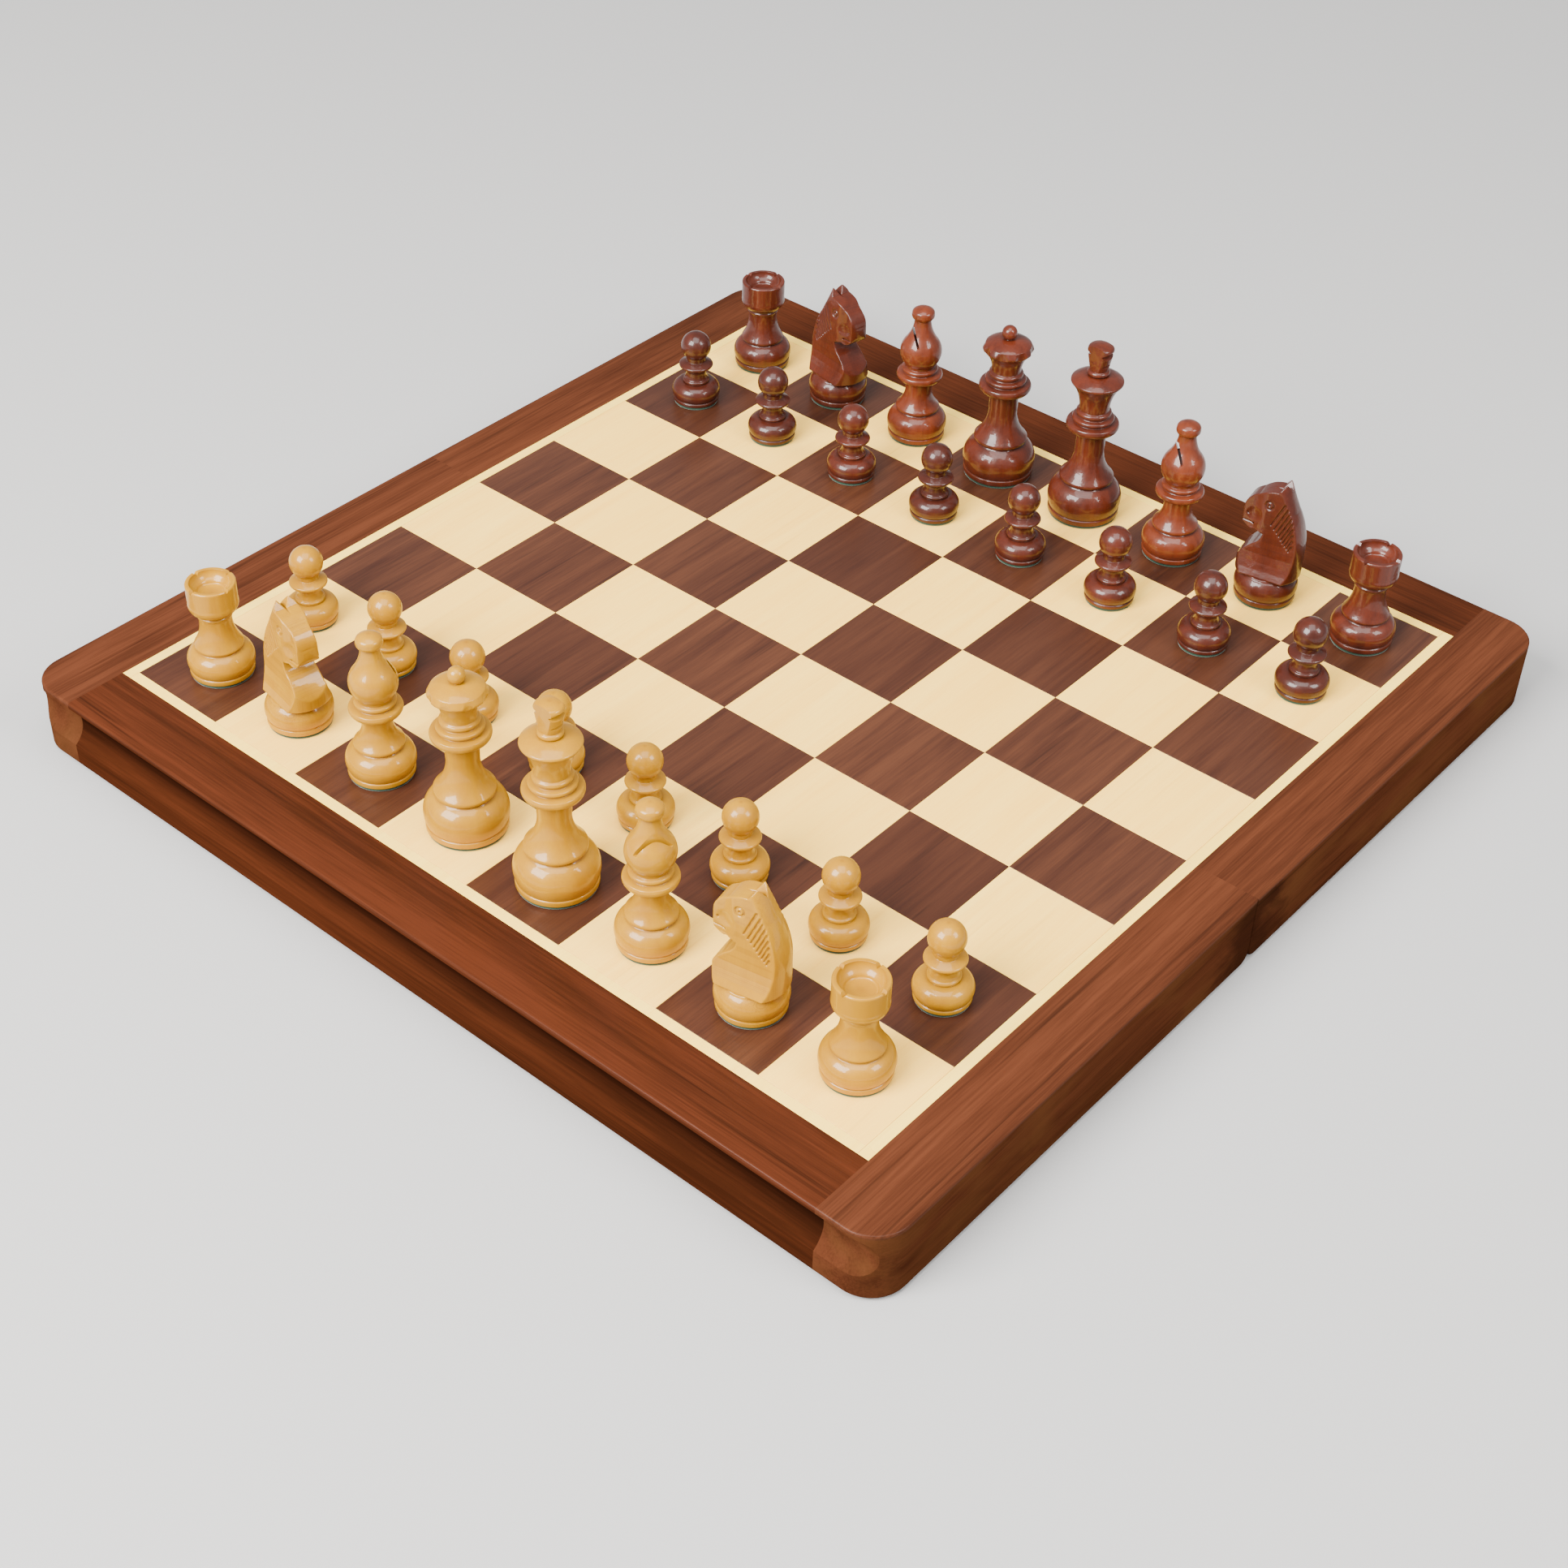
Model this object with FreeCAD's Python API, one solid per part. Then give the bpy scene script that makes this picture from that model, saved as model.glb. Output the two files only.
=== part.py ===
"""Folding magnetic chess set: two hinged wooden half-boxes whose lids are the board, and 32 men.

Millimetres, +Z up.  The origin is the bottom centre of the open board, under the fold line.
X runs from the a-file to the h-file, Y from rank 1 (white) to rank 8 (black).
Each half is an open tray turned upside down: rails, a plywood panel with a steel sheet and a
veneered field on top of it, and lined storage compartments that face the table.
"""
import FreeCAD, Part
import math
import os

from FreeCAD import Vector

os.makedirs("parts", exist_ok=True)

# ---- driving dimensions of the board -------------------------------------------------------
SQUARE = 38.1                 # one square of the field, 1.5 in
FILES = "abcdefgh"
COUNT = len(FILES)
STRIP_WIDTH = 3.8             # maple inlay round the field
BOARD = 356.0                 # side of the open board
SHELL = 25.0                  # height of a half from its rim to the playing surface
CORNER = 12.0                 # radius of the four upright corners
EASE = 0.8                    # eased long edges
FOLD_ROUND = 4.0              # rounding of the rim beside the fold, where the knuckles sit

# ---- hinges ----------------------------------------------------------------------------------
KNUCKLE_R = 1.2
PIN_R = 0.6
LEAF_LENGTH = 30.0
LEAF_REACH = 11.0             # fold line to the leaf's free edge
LEAF_THICK = 0.8
LEAF_SET = 0.1                # the leaf lies this far below flush
HINGE_X = 100.0
HINGE_SCREW_X = 9.5
HINGE_SCREW_Y = 7.6
SCREW_R = 1.0
SCREW_HEAD_R = 1.9
SCREW_LENGTH = 8.0
KNUCKLE_GAP = 0.15            # between neighbouring knuckles, and round the other leaf's
PIN_PLAY = 0.05               # the middle knuckle turns on the pin

RIM = KNUCKLE_R               # height of the rim plane: the knuckles stand proud under it
TOP = RIM + SHELL             # height of the playing surface

# ---- layers of the lid -------------------------------------------------------------------------
VENEER = 0.8
STEEL = 0.5
CORE = 4.0
TONGUE = 4.0                  # how far the core sits in the rails
FELT = 0.8

FIELD = COUNT * SQUARE
INNER = FIELD + 2 * STRIP_WIDTH          # clear width between the side rails
RAIL = (BOARD - INNER) / 2               # width of a rail
SPINE = 12.0                             # thickness of the rail beside the fold
CORE_TOP = TOP - VENEER - STEEL
CORE_BOTTOM = CORE_TOP - CORE
DIVIDER = 3.0
BAYS = 4                                 # storage compartments along the fold, in two rows
DIVIDER_SHORT = 0.5                      # dividers stop this far above the rim

# ---- finger groove along the front rails -------------------------------------------------------
GROOVE_TOP = 2.0              # below the playing surface
GROOVE_HEIGHT = 15.0
GROOVE_DEPTH = 4.0

# ---- closure magnets ---------------------------------------------------------------------------
MAGNET_R = 4.0
MAGNET_DEPTH = 3.0
MAGNET_SET = 0.1              # below flush with the rim
MAGNET_X = 60.0

# ---- chessmen: z is measured from the playing surface ------------------------------------------
ROYAL_R = 13.1                # foot radius of king and queen
BISHOP_R = 11.0
KNIGHT_R = 10.95
ROOK_R = 10.9
PAWN_R = 9.0
MAN_FELT = 0.8
FELT_INSET = 0.8              # the felt disc is this much smaller than the foot
MAN_CLEARANCE = 0.02          # air under a man's felt
WEIGHT_DEPTH = 3.0
WEIGHT_WALL = 4.5             # wood left round the steel weight
KNIGHT_TURN = 11.0            # degrees the knights look towards white's side
CROSS_EDGE = 4.2              # from the king's axis to the edge of its cross
KERF_ROLL = 6.0               # degrees that a bishop's saw cut leans sideways


def box(x0, x1, y0, y1, z0, z1):
    return Part.makeBox(x1 - x0, y1 - y0, z1 - z0, Vector(x0, y0, z0))


def rod(radius, length, base, direction=Vector(0, 0, 1)):
    return Part.makeCylinder(radius, length, base, direction)


def turned_copy(shape, degrees):
    """The shape turned about the Z axis."""
    one = shape.copy()
    one.rotate(Vector(0, 0, 0), Vector(0, 0, 1), degrees)
    return one


def ring_of(shape, steps):
    """Copies of a shape evenly turned round the Z axis."""
    return [turned_copy(shape, k * 360.0 / steps) for k in range(steps)]


def moved(shape, vector):
    one = shape.copy()
    one.translate(vector)
    return one


def outline(start, steps, place):
    """Wire from a start point: a step of 2 numbers is a line, of 4 an arc through the first two."""
    edges = []
    here = start
    for step in steps:
        end = step[-2:]
        if len(step) == 2:
            edges.append(Part.LineSegment(place(*here), place(*end)).toShape())
        else:
            edges.append(Part.Arc(place(*here), place(*step[:2]), place(*end)).toShape())
        here = end
    if math.dist(here, start) > 1e-6:
        edges.append(Part.LineSegment(place(*here), place(*start)).toShape())
    return Part.Wire(edges)


def turned(steps):
    """Solid of revolution from (radius, height) steps that start on the axis above the felt."""
    start = (0.0, MAN_FELT)
    wire = outline(start, steps, lambda r, z: Vector(r, 0, z))
    return Part.Face(wire).revolve(Vector(0, 0, 0), Vector(0, 0, 1), 360)


def dome(radius, z, top):
    """Arc from an edge ring up to the axis, centred on the axis."""
    rise = top - z
    sphere = (radius ** 2 + rise ** 2) / (2 * rise)
    centre = top - sphere
    half_angle = math.atan2(radius, z - centre) / 2
    return [(sphere * math.sin(half_angle), centre + sphere * math.cos(half_angle), 0.0, top)]


def ball(neck, radius, centre):
    """Line up to a ball's neck ring and the arc over it to the axis."""
    low = centre - math.sqrt(radius ** 2 - neck ** 2)
    return [(neck, low), (radius, centre, 0.0, centre + radius)]


# ============================================================== chessmen
def bulge(r, z, start_r, start_z, end_r, end_z):
    """Two arcs that meet upright at the widest ring (r, z), from a lower to an upper ring."""
    steps = []
    for ring_r, ring_z in ((start_r, start_z), (end_r, end_z)):
        across = r - ring_r
        rise = ring_z - z
        size = (across ** 2 + rise ** 2) / (2 * across)
        half_angle = math.atan2(rise, size - across) / 2
        middle = (r - size + size * math.cos(half_angle), z + size * math.sin(half_angle))
        steps.append(middle + ((r, z) if ring_z < z else (ring_r, ring_z)))
    return steps


def foot(radius, rim, shoulder_r, shoulder_z):
    """Rim, groove and swelling that every man has, up to the shoulder."""
    rim_r = radius - 0.45
    groove_r = radius - 0.85
    swell_z = rim + 0.38 * (shoulder_z - rim)
    return [
        (rim_r - 0.5, MAN_FELT),
        (rim_r, MAN_FELT + 0.5),
        (rim_r, rim - 0.5),
        (rim_r - 0.1, rim - 0.15, groove_r, rim),
    ] + bulge(radius, swell_z, groove_r, rim, shoulder_r, shoulder_z)


def collar(inner_low, outer, inner_high, low, high):
    """A rounded disc on the stem, between two heights."""
    nose = 0.3 * (high - low)
    return [
        (inner_low, low),
        (outer - 0.5, low + 0.15),
        (outer, low + 0.15 + nose, outer - 0.35, high - 0.35),
        (inner_high, high),
    ]


def tall_foot():
    return foot(ROYAL_R, 3.1, 9.2, 13.6) + [
        (8.8, 14.1),
        (9.6, 14.9, 9.5, 15.9),
        (6.5, 20.2, 5.2, 28.0),
        (5.2, 33.6),
    ]


def tall_collars():
    return (collar(6.6, 9.3, 7.0, 34.9, 37.9)
            + collar(6.9, 7.4, 5.9, 38.1, 40.1)
            + collar(5.8, 6.2, 5.3, 40.4, 42.5))


def king_body():
    steps = tall_foot() + tall_collars() + [
        (6.3, 48.4, 8.9, 53.0),
        (9.25, 53.6, 8.8, 54.2),
        (6.4, 55.5, 3.3, 56.1),
        (3.95, 57.1, 3.2, 58.0),
        (3.9, 61.6, 4.6, 65.6),
        (4.4, 66.6, 3.4, 67.2),
    ] + dome(3.4, 67.2, 68.0)
    body = turned(steps)
    half_slab = 2.9
    for side in (-1, 1):
        near = min(side * half_slab, side * 2 * half_slab)
        body = body.cut(box(-6, 6, near, near + half_slab, 58.0, 70.0))
    notches = []
    for side in (-1, 1):
        for z, depth, half_width in ((64.6, 1.5, 1.1), (60.2, 1.3, 1.0)):
            notches.append(v_notch(side, z, depth, half_width))
    return body.cut(Part.makeCompound(notches))


def v_notch(side, z, depth, half_width):
    """V groove across the edge of the cross, cut in along X from outside."""
    reach = 5.0
    tip = CROSS_EDGE - depth
    wire = Part.makePolygon([
        Vector(side * tip, -reach, z),
        Vector(side * reach, -reach, z - half_width * (reach - tip) / depth),
        Vector(side * reach, -reach, z + half_width * (reach - tip) / depth),
        Vector(side * tip, -reach, z),
    ])
    return Part.Face(wire).extrude(Vector(0, 2 * reach, 0))


def queen_body():
    steps = tall_foot() + tall_collars() + [
        (6.2, 47.0, 8.6, 50.4),
        (9.1, 51.0, 8.9, 51.7),
        (8.2, 53.1),
        (5.6, 54.4, 1.6, 54.9),
    ] + ball(1.6, 2.75, 57.3)
    body = turned(steps)
    # shallow flutes round the coronet leave a softly scalloped rim
    flutes = 8
    flute_r = 5.2
    flute = rod(flute_r, 6.0, Vector(8.5 + flute_r, 0, 49.0))
    return body.cut(Part.makeCompound(ring_of(flute, flutes)))


def bishop_body(slit_azimuth):
    steps = foot(BISHOP_R, 2.9, 7.5, 10.9) + [
        (7.2, 11.3),
        (7.95, 12.0, 7.8, 12.9),
        (5.6, 16.2, 4.85, 20.5),
        (4.9, 23.4),
    ] + collar(5.6, 8.35, 6.3, 24.2, 27.0) + collar(6.2, 6.6, 5.5, 27.2, 29.2) + [
        (5.6, 30.2),
        (7.5, 35.4, 6.2, 40.6),
        (3.9, 44.6),
        (3.15, 46.2, 2.95, 48.2),
        (3.9, 48.9, 4.15, 50.4),
        (4.0, 51.3, 3.3, 52.0),
    ] + dome(3.3, 52.0, 53.0)
    body = turned(steps)
    kerf = box(-0.45, 0.45, -7.0, 7.0, 0.0, 7.0)
    kerf.rotate(Vector(0, 0, 0), Vector(1, 0, 0), KERF_ROLL)
    kerf.translate(Vector(4.2, 0, 38.8))
    kerf.rotate(Vector(0, 0, 0), Vector(0, 0, 1), slit_azimuth)
    return body.cut(kerf)


def rook_body():
    steps = foot(ROOK_R, 2.9, 7.7, 10.4) + [
        (7.4, 10.9),
        (7.95, 11.5, 7.8, 12.2),
        (5.9, 16.4, 5.3, 21.8),
        (5.35, 22.6),
        (5.75, 23.1, 5.4, 23.7),
        (5.6, 24.3),
        (7.5, 25.6, 8.05, 28.4),
        (8.1, 34.9),
        (7.8, 35.3),
        (6.7, 35.3),
        (6.1, 33.0, 4.9, 31.6),
        (0.0, 31.2),
    ]
    body = turned(steps)
    # four small V notches across the battlement
    depth = 1.3
    notch = Part.Face(Part.makePolygon([
        Vector(4.0, 0, 35.4 - depth),
        Vector(4.0, 0.9, 35.4),
        Vector(4.0, -0.9, 35.4),
        Vector(4.0, 0, 35.4 - depth),
    ])).extrude(Vector(5.0, 0, 0))
    return body.cut(Part.makeCompound(ring_of(notch, 4)))


def pawn_body():
    neck = 3.7
    steps = foot(PAWN_R, 2.5, 4.7, 8.6) + [
        (5.0, 9.2, 4.4, 9.9),
        (3.8, 11.6, 4.2, 14.4),
        (5.9, 14.9),
        (6.35, 15.6, 5.9, 16.2),
        (neck, 17.3),
    ] + ball(neck, 5.6, 23.2)
    return turned(steps)


def knight_body(heading):
    """Turned foot with a carved head: flat sawn cheeks, round chest and back, facing +X."""
    base = turned(foot(KNIGHT_R, 3.0, 8.8, 10.4) + [(8.6, 10.9), (0.0, 11.6)])
    beyond = 11.2
    back = [
        (-beyond, 18.0),
        (-10.3, 28.0, -7.2, 36.2),
        (-4.9, 41.0, -2.3, 46.8),
    ]
    profile = back + [
        (-1.7, 43.8),
        (2.6, 42.9, 6.2, 40.6),
        (9.0, 38.3, 10.3, 34.4),
        (10.6, 31.2, 9.6, 28.8),
        (7.9, 27.6, 5.8, 27.6),
        (2.6, 26.6),
        (3.4, 24.2, 5.6, 22.0),
        (8.8, 18.6, beyond, 14.6),
        (beyond, 11.0),
    ]
    wire = outline((-beyond, 11.0), profile, lambda u, z: Vector(u, -10.0, z))
    head = Part.Face(wire).extrude(Vector(0, 20.0, 0))
    head = head.common(rod(10.6, 50.0, Vector(0, 0, 5.0)))
    # the back stays as it was turned; the face is sawn
    dome_wire = outline((-beyond, 5.0), back + [(0.0, 47.2), (0.0, 5.0)], lambda u, z: Vector(u, 0, z))
    turned_back = Part.Face(dome_wire).revolve(Vector(0, 0, 0), Vector(0, 0, 1), 360)
    turned_back = turned_back.common(box(-12, 0, -12, 12, 5, 50))
    head = head.common(turned_back.fuse(box(0, 12, -12, 12, 5, 50)))
    # cheeks: the slab flares out towards the foot and thins towards the ears
    cheeks = [
        (10.0, 8.4),
        (11.2, 8.2),
        (13.5, 7.0),
        (16.0, 6.1),
        (19.0, 5.45),
        (24.0, 5.1),
        (34.0, 4.7),
        (48.0, 3.7),
    ]
    edge = [Vector(-12, half, z) for z, half in cheeks]
    edge += [Vector(-12, -half, z) for z, half in reversed(cheeks)]
    slab = Part.makePolygon(edge + edge[:1])
    head = head.common(Part.Face(slab).extrude(Vector(24, 0, 0)))
    cuts = [ear_notch()] + [mane_cut(side, k) for side in (-1, 1) for k in range(6)]
    head = head.cut(Part.makeCompound(cuts))
    body = base.fuse(head).removeSplitter()
    body.rotate(Vector(0, 0, 0), Vector(0, 0, 1), heading)
    return body


def ear_notch():
    """V between the two ears, open to the front."""
    section = Part.makePolygon([
        Vector(-4.6, 0, 43.0),
        Vector(-4.6, -2.6, 48.5),
        Vector(-4.6, 2.6, 48.5),
        Vector(-4.6, 0, 43.0),
    ])
    return Part.Face(section).extrude(Vector(8, 0, 0))


def mane_cut(side, k):
    """One slanting knife cut in a cheek, behind the jaw."""
    length = 8.5 - 0.5 * k
    cut = Part.makeBox(length, 1.2, 0.5, Vector(-length / 2, -0.6, -0.25))
    cut.rotate(Vector(0, 0, 0), Vector(0, 1, 0), 62.0)
    cut.translate(Vector(-3.6 - 0.35 * k, side * (4.7 + 0.10 * k), 34.6 - 2.0 * k))
    return cut


def man(body, radius):
    """Body hollowed for its weight, with the weight and the felt as their own solids."""
    weight = rod(radius - WEIGHT_WALL, WEIGHT_DEPTH, Vector(0, 0, MAN_FELT))
    felt = rod(radius - FELT_INSET, MAN_FELT, Vector(0, 0, 0))
    return Part.makeCompound([body.cut(weight), weight, felt])


def square_centre(file_index, rank):
    x = (file_index - (COUNT - 1) / 2) * SQUARE
    y = (rank - (COUNT + 1) / 2) * SQUARE
    return Vector(x, y, TOP + MAN_CLEARANCE)


def back_row(army):
    """The eight officers of one army, from the a-file to the h-file."""
    slits = {"white": (95.0, -32.0), "black": (218.0, 203.0)}[army]
    heading = -KNIGHT_TURN
    return [
        ("rook", rook_body(), ROOK_R),
        ("knight", knight_body(heading), KNIGHT_R),
        ("bishop", bishop_body(slits[0]), BISHOP_R),
        ("queen", queen_body(), ROYAL_R),
        ("king", king_body(), ROYAL_R),
        ("bishop", bishop_body(slits[1]), BISHOP_R),
        ("knight", knight_body(180.0 - heading), KNIGHT_R),
        ("rook", rook_body(), ROOK_R),
    ]


def chessmen(army, officer_rank, pawn_rank):
    for index, (name, body, radius) in enumerate(back_row(army)):
        place = square_centre(index, officer_rank)
        node = f"{army}_{name}_{FILES[index]}{officer_rank}"
        save(node, moved(man(body, radius), place))
    pawn = man(pawn_body(), PAWN_R)
    for index in range(COUNT):
        node = f"{army}_pawn_{FILES[index]}{pawn_rank}"
        save(node, moved(pawn, square_centre(index, pawn_rank)))


# ============================================================== board
def half_blank():
    """Outer shape of white's half: round corners, eased edges, rounded rim beside the fold."""
    edge = BOARD / 2
    blank = box(-edge, edge, -edge, 0, RIM, TOP)
    corners = [e for e in blank.Edges if on_line(e, z=None, y=-edge)]
    blank = blank.makeFillet(CORNER, corners)
    fold = [e for e in blank.Edges if on_line(e, z=RIM, y=0.0)]
    blank = blank.makeFillet(FOLD_ROUND, fold)
    long_edges = [e for e in blank.Edges if eased(e)]
    blank = blank.makeFillet(EASE, long_edges)
    centre_z = TOP - GROOVE_TOP - GROOVE_HEIGHT / 2
    half = GROOVE_HEIGHT / 2
    radius = (half ** 2 + GROOVE_DEPTH ** 2) / (2 * GROOVE_DEPTH)
    centre_y = -edge - (radius - GROOVE_DEPTH)
    groove = rod(radius, BOARD + 2, Vector(-edge - 1, centre_y, centre_z), Vector(1, 0, 0))
    return blank.cut(groove)


def on_line(edge, z, y):
    """True for an edge all of whose ends lie at the given y and, if given, z."""
    for vertex in edge.Vertexes:
        if abs(vertex.Y - y) > 1e-6:
            return False
        if z is not None and abs(vertex.Z - z) > 1e-6:
            return False
    return z is not None or abs(edge.Vertexes[0].Z - edge.Vertexes[1].Z) > 1.0


def eased(edge):
    """Outer top and bottom edges, but not the ones at the fold."""
    box_ = edge.BoundBox
    flat = box_.ZLength < 1e-6
    at_rim = abs(box_.ZMin - TOP) < 1e-6 or abs(box_.ZMin - RIM) < 1e-6
    return flat and at_rim and box_.YMin < -FOLD_ROUND - 1.0


def panel(reach, z0, z1):
    """White-half sheet between the rails, reaching into them by a given amount."""
    wide = INNER / 2 + reach
    return box(-wide, wide, -wide, 0, z0, z1)


def rails():
    """Front rail, the pair of side rails and the spine rail of white's half."""
    blank = half_blank()
    inner = INNER / 2
    edge = BOARD / 2
    core_slot = panel(TONGUE, CORE_BOTTOM, CORE_TOP)
    front = blank.common(box(-inner, inner, -edge, -inner, RIM, TOP))
    front = front.cut(core_slot)
    sides = []
    for x0, x1 in ((-edge, -inner), (inner, edge)):
        side = blank.common(box(x0, x1, -edge, 0, RIM, TOP))
        sides.append(side.cut(core_slot))
    spine = blank.common(box(-inner, inner, -SPINE, 0, RIM, CORE_BOTTOM))
    for x in (-HINGE_X, HINGE_X):
        pocket = box(x - LEAF_LENGTH / 2, x + LEAF_LENGTH / 2, -LEAF_REACH, 0, RIM,
                     RIM + LEAF_SET + LEAF_THICK)
        spine = spine.cut(pocket)
        for screw in hinge_screws_at(x, slotted=False):
            spine = spine.cut(screw)
    for magnet in magnets():
        front = front.cut([magnet, moved(magnet, Vector(0, 0, -MAGNET_SET))])
    return front, sides, spine


def magnets():
    y = -(BOARD - RAIL) / 2
    base = RIM + MAGNET_SET
    return [rod(MAGNET_R, MAGNET_DEPTH, Vector(x, y, base)) for x in (-MAGNET_X, MAGNET_X)]


def hinge_screws_at(x, slotted=True):
    """Two countersunk screws of one leaf, heads down at the rim."""
    screws = []
    head = SCREW_HEAD_R - SCREW_R
    point = 1.5
    slot_half = 0.25
    slot_depth = 0.35
    low = RIM + LEAF_SET
    for side in (-1, 1):
        place = Vector(x + side * HINGE_SCREW_X, -HINGE_SCREW_Y, low)
        cone = Part.makeCone(SCREW_HEAD_R, SCREW_R, head, place)
        shank = rod(SCREW_R, SCREW_LENGTH - head - point, place + Vector(0, 0, head))
        tip = Part.makeCone(SCREW_R, 0.2, point, place + Vector(0, 0, SCREW_LENGTH - point))
        screw = cone.fuse([shank, tip]).removeSplitter()
        if slotted:
            slot = box(place.x - slot_half, place.x + slot_half,
                       place.y - SCREW_HEAD_R, place.y + SCREW_HEAD_R, low, low + slot_depth)
            screw = screw.cut(slot)
        screws.append(screw)
    return screws


def hinge_leaf(x, knuckles, bore_r):
    """Leaf on white's side of the fold with its share of the three knuckles."""
    low = RIM + LEAF_SET
    plate = box(x - LEAF_LENGTH / 2, x + LEAF_LENGTH / 2, -LEAF_REACH, 0, low, low + LEAF_THICK)
    pitch = LEAF_LENGTH / 3
    clear = KNUCKLE_R + KNUCKLE_GAP
    for k in range(3):
        start = x - LEAF_LENGTH / 2 + k * pitch
        if k in knuckles:
            barrel = rod(KNUCKLE_R, pitch - KNUCKLE_GAP,
                         Vector(start + KNUCKLE_GAP / 2, 0, RIM), Vector(1, 0, 0))
            plate = plate.fuse(barrel)
        else:
            gap_start = start - KNUCKLE_GAP / 2
            plate = plate.cut(box(gap_start, gap_start + pitch + KNUCKLE_GAP, -clear, 1,
                                  low - 1, low + LEAF_THICK + 1))
    bore = rod(bore_r, LEAF_LENGTH + 2, Vector(x - LEAF_LENGTH / 2 - 1, 0, RIM), Vector(1, 0, 0))
    plate = plate.cut(bore)
    for screw in hinge_screws_at(x, slotted=False):
        plate = plate.cut(screw)
    return plate.removeSplitter()


def squares(light):
    """The light or the dark veneer squares of white's half: a1 is dark."""
    tiles = []
    for file_index in range(COUNT):
        for rank in range(COUNT // 2):
            if ((file_index + rank) % 2 == 1) == light:
                x = (file_index - COUNT / 2) * SQUARE
                y = (rank - COUNT / 2) * SQUARE
                tiles.append(box(x, x + SQUARE, y, y + SQUARE, TOP - VENEER, TOP))
    return tiles


def inlay_strips():
    """Front strip between the two side strips, which run through to the corners."""
    inner = INNER / 2
    field = FIELD / 2
    low = TOP - VENEER
    return [
        box(-field, field, -inner, -field, low, TOP),
        box(-inner, -field, -inner, 0, low, TOP),
        box(field, inner, -inner, 0, low, TOP),
    ]


def bay_width():
    return (INNER - (BAYS - 1) * DIVIDER) / BAYS


def bay_depth():
    return (INNER / 2 - SPINE - DIVIDER) / 2


def storage():
    """Divider strips, each a straight piece, and the felt on the ceiling of every bay."""
    inner = INNER / 2
    low = RIM + DIVIDER_SHORT
    middle = -SPINE - bay_depth() - DIVIDER
    dividers = [box(-inner, inner, middle, middle + DIVIDER, low, CORE_BOTTOM)]
    felts = []
    rows = ((-inner, middle), (middle + DIVIDER, -SPINE))
    for y0, y1 in rows:
        for k in range(BAYS):
            x0 = -inner + k * (bay_width() + DIVIDER)
            x1 = x0 + bay_width()
            felts.append(box(x0, x1, y0, y1, CORE_BOTTOM - FELT, CORE_BOTTOM))
            if k < BAYS - 1:
                dividers.append(box(x1, x1 + DIVIDER, y0, y1, low, CORE_BOTTOM))
    return dividers, felts


def other_half(shapes):
    """The same pieces for black's half, turned half a turn about the Z axis."""
    return [turned_copy(shape, 180.0) for shape in shapes]


def save(node, shape):
    shape.exportStep(f"parts/{node}.step")
    print(f"{node:24s} solids {len(shape.Solids):3d}  valid {shape.isValid()}")


def board():
    front, sides, spine = rails()
    dividers, felts = storage()
    steel = panel(0.0, CORE_TOP, CORE_TOP + STEEL)
    core = panel(TONGUE, CORE_BOTTOM, CORE_TOP)
    screws = hinge_screws_at(-HINGE_X) + hinge_screws_at(HINGE_X)
    groups = {
        "front_rail": [front],
        "side_rails": sides,
        "spine_rail": [spine],
        "core_panel": [core],
        "steel_sheet": [steel],
        "light_squares": squares(True),
        "dark_squares": squares(False),
        "inlay_strips": inlay_strips(),
        "divider_strips": dividers,
        "felt_lining": felts,
        "hinge_screws": screws,
        "closure_magnets": magnets(),
    }
    leaves = {
        "white": [hinge_leaf(x, (0, 2), PIN_R) for x in (-HINGE_X, HINGE_X)],
        "black": [hinge_leaf(x, (1,), PIN_R + PIN_PLAY) for x in (-HINGE_X, HINGE_X)],
    }
    for name, shapes in groups.items():
        save(f"white_{name}", Part.makeCompound(shapes))
        save(f"black_{name}", Part.makeCompound(other_half(shapes)))
    save("white_hinge_leaves", Part.makeCompound(leaves["white"]))
    save("black_hinge_leaves", Part.makeCompound(other_half(leaves["black"])))
    pins = [rod(PIN_R, LEAF_LENGTH, Vector(x - LEAF_LENGTH / 2, 0, RIM), Vector(1, 0, 0))
            for x in (-HINGE_X, HINGE_X)]
    save("hinge_pins", Part.makeCompound(pins))


board()
chessmen("white", 1, 2)
chessmen("black", 8, 7)
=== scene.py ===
"""Looks of the folding chess set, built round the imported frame.

Metres, in the frame's own axes: X from the a-file to the h-file, Y from rank 1 to rank 8, +Z up.
The turned men are lathe meshes, the knights are carved out of a distance field, the veneers are
tiled, and the board's other CAD pieces stay and get wood, felt and metal surfaces.
Outlines of the men are in millimetres above the playing surface.
"""

import math

import bpy
import numpy as np
from mathutils import Matrix, Vector


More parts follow.
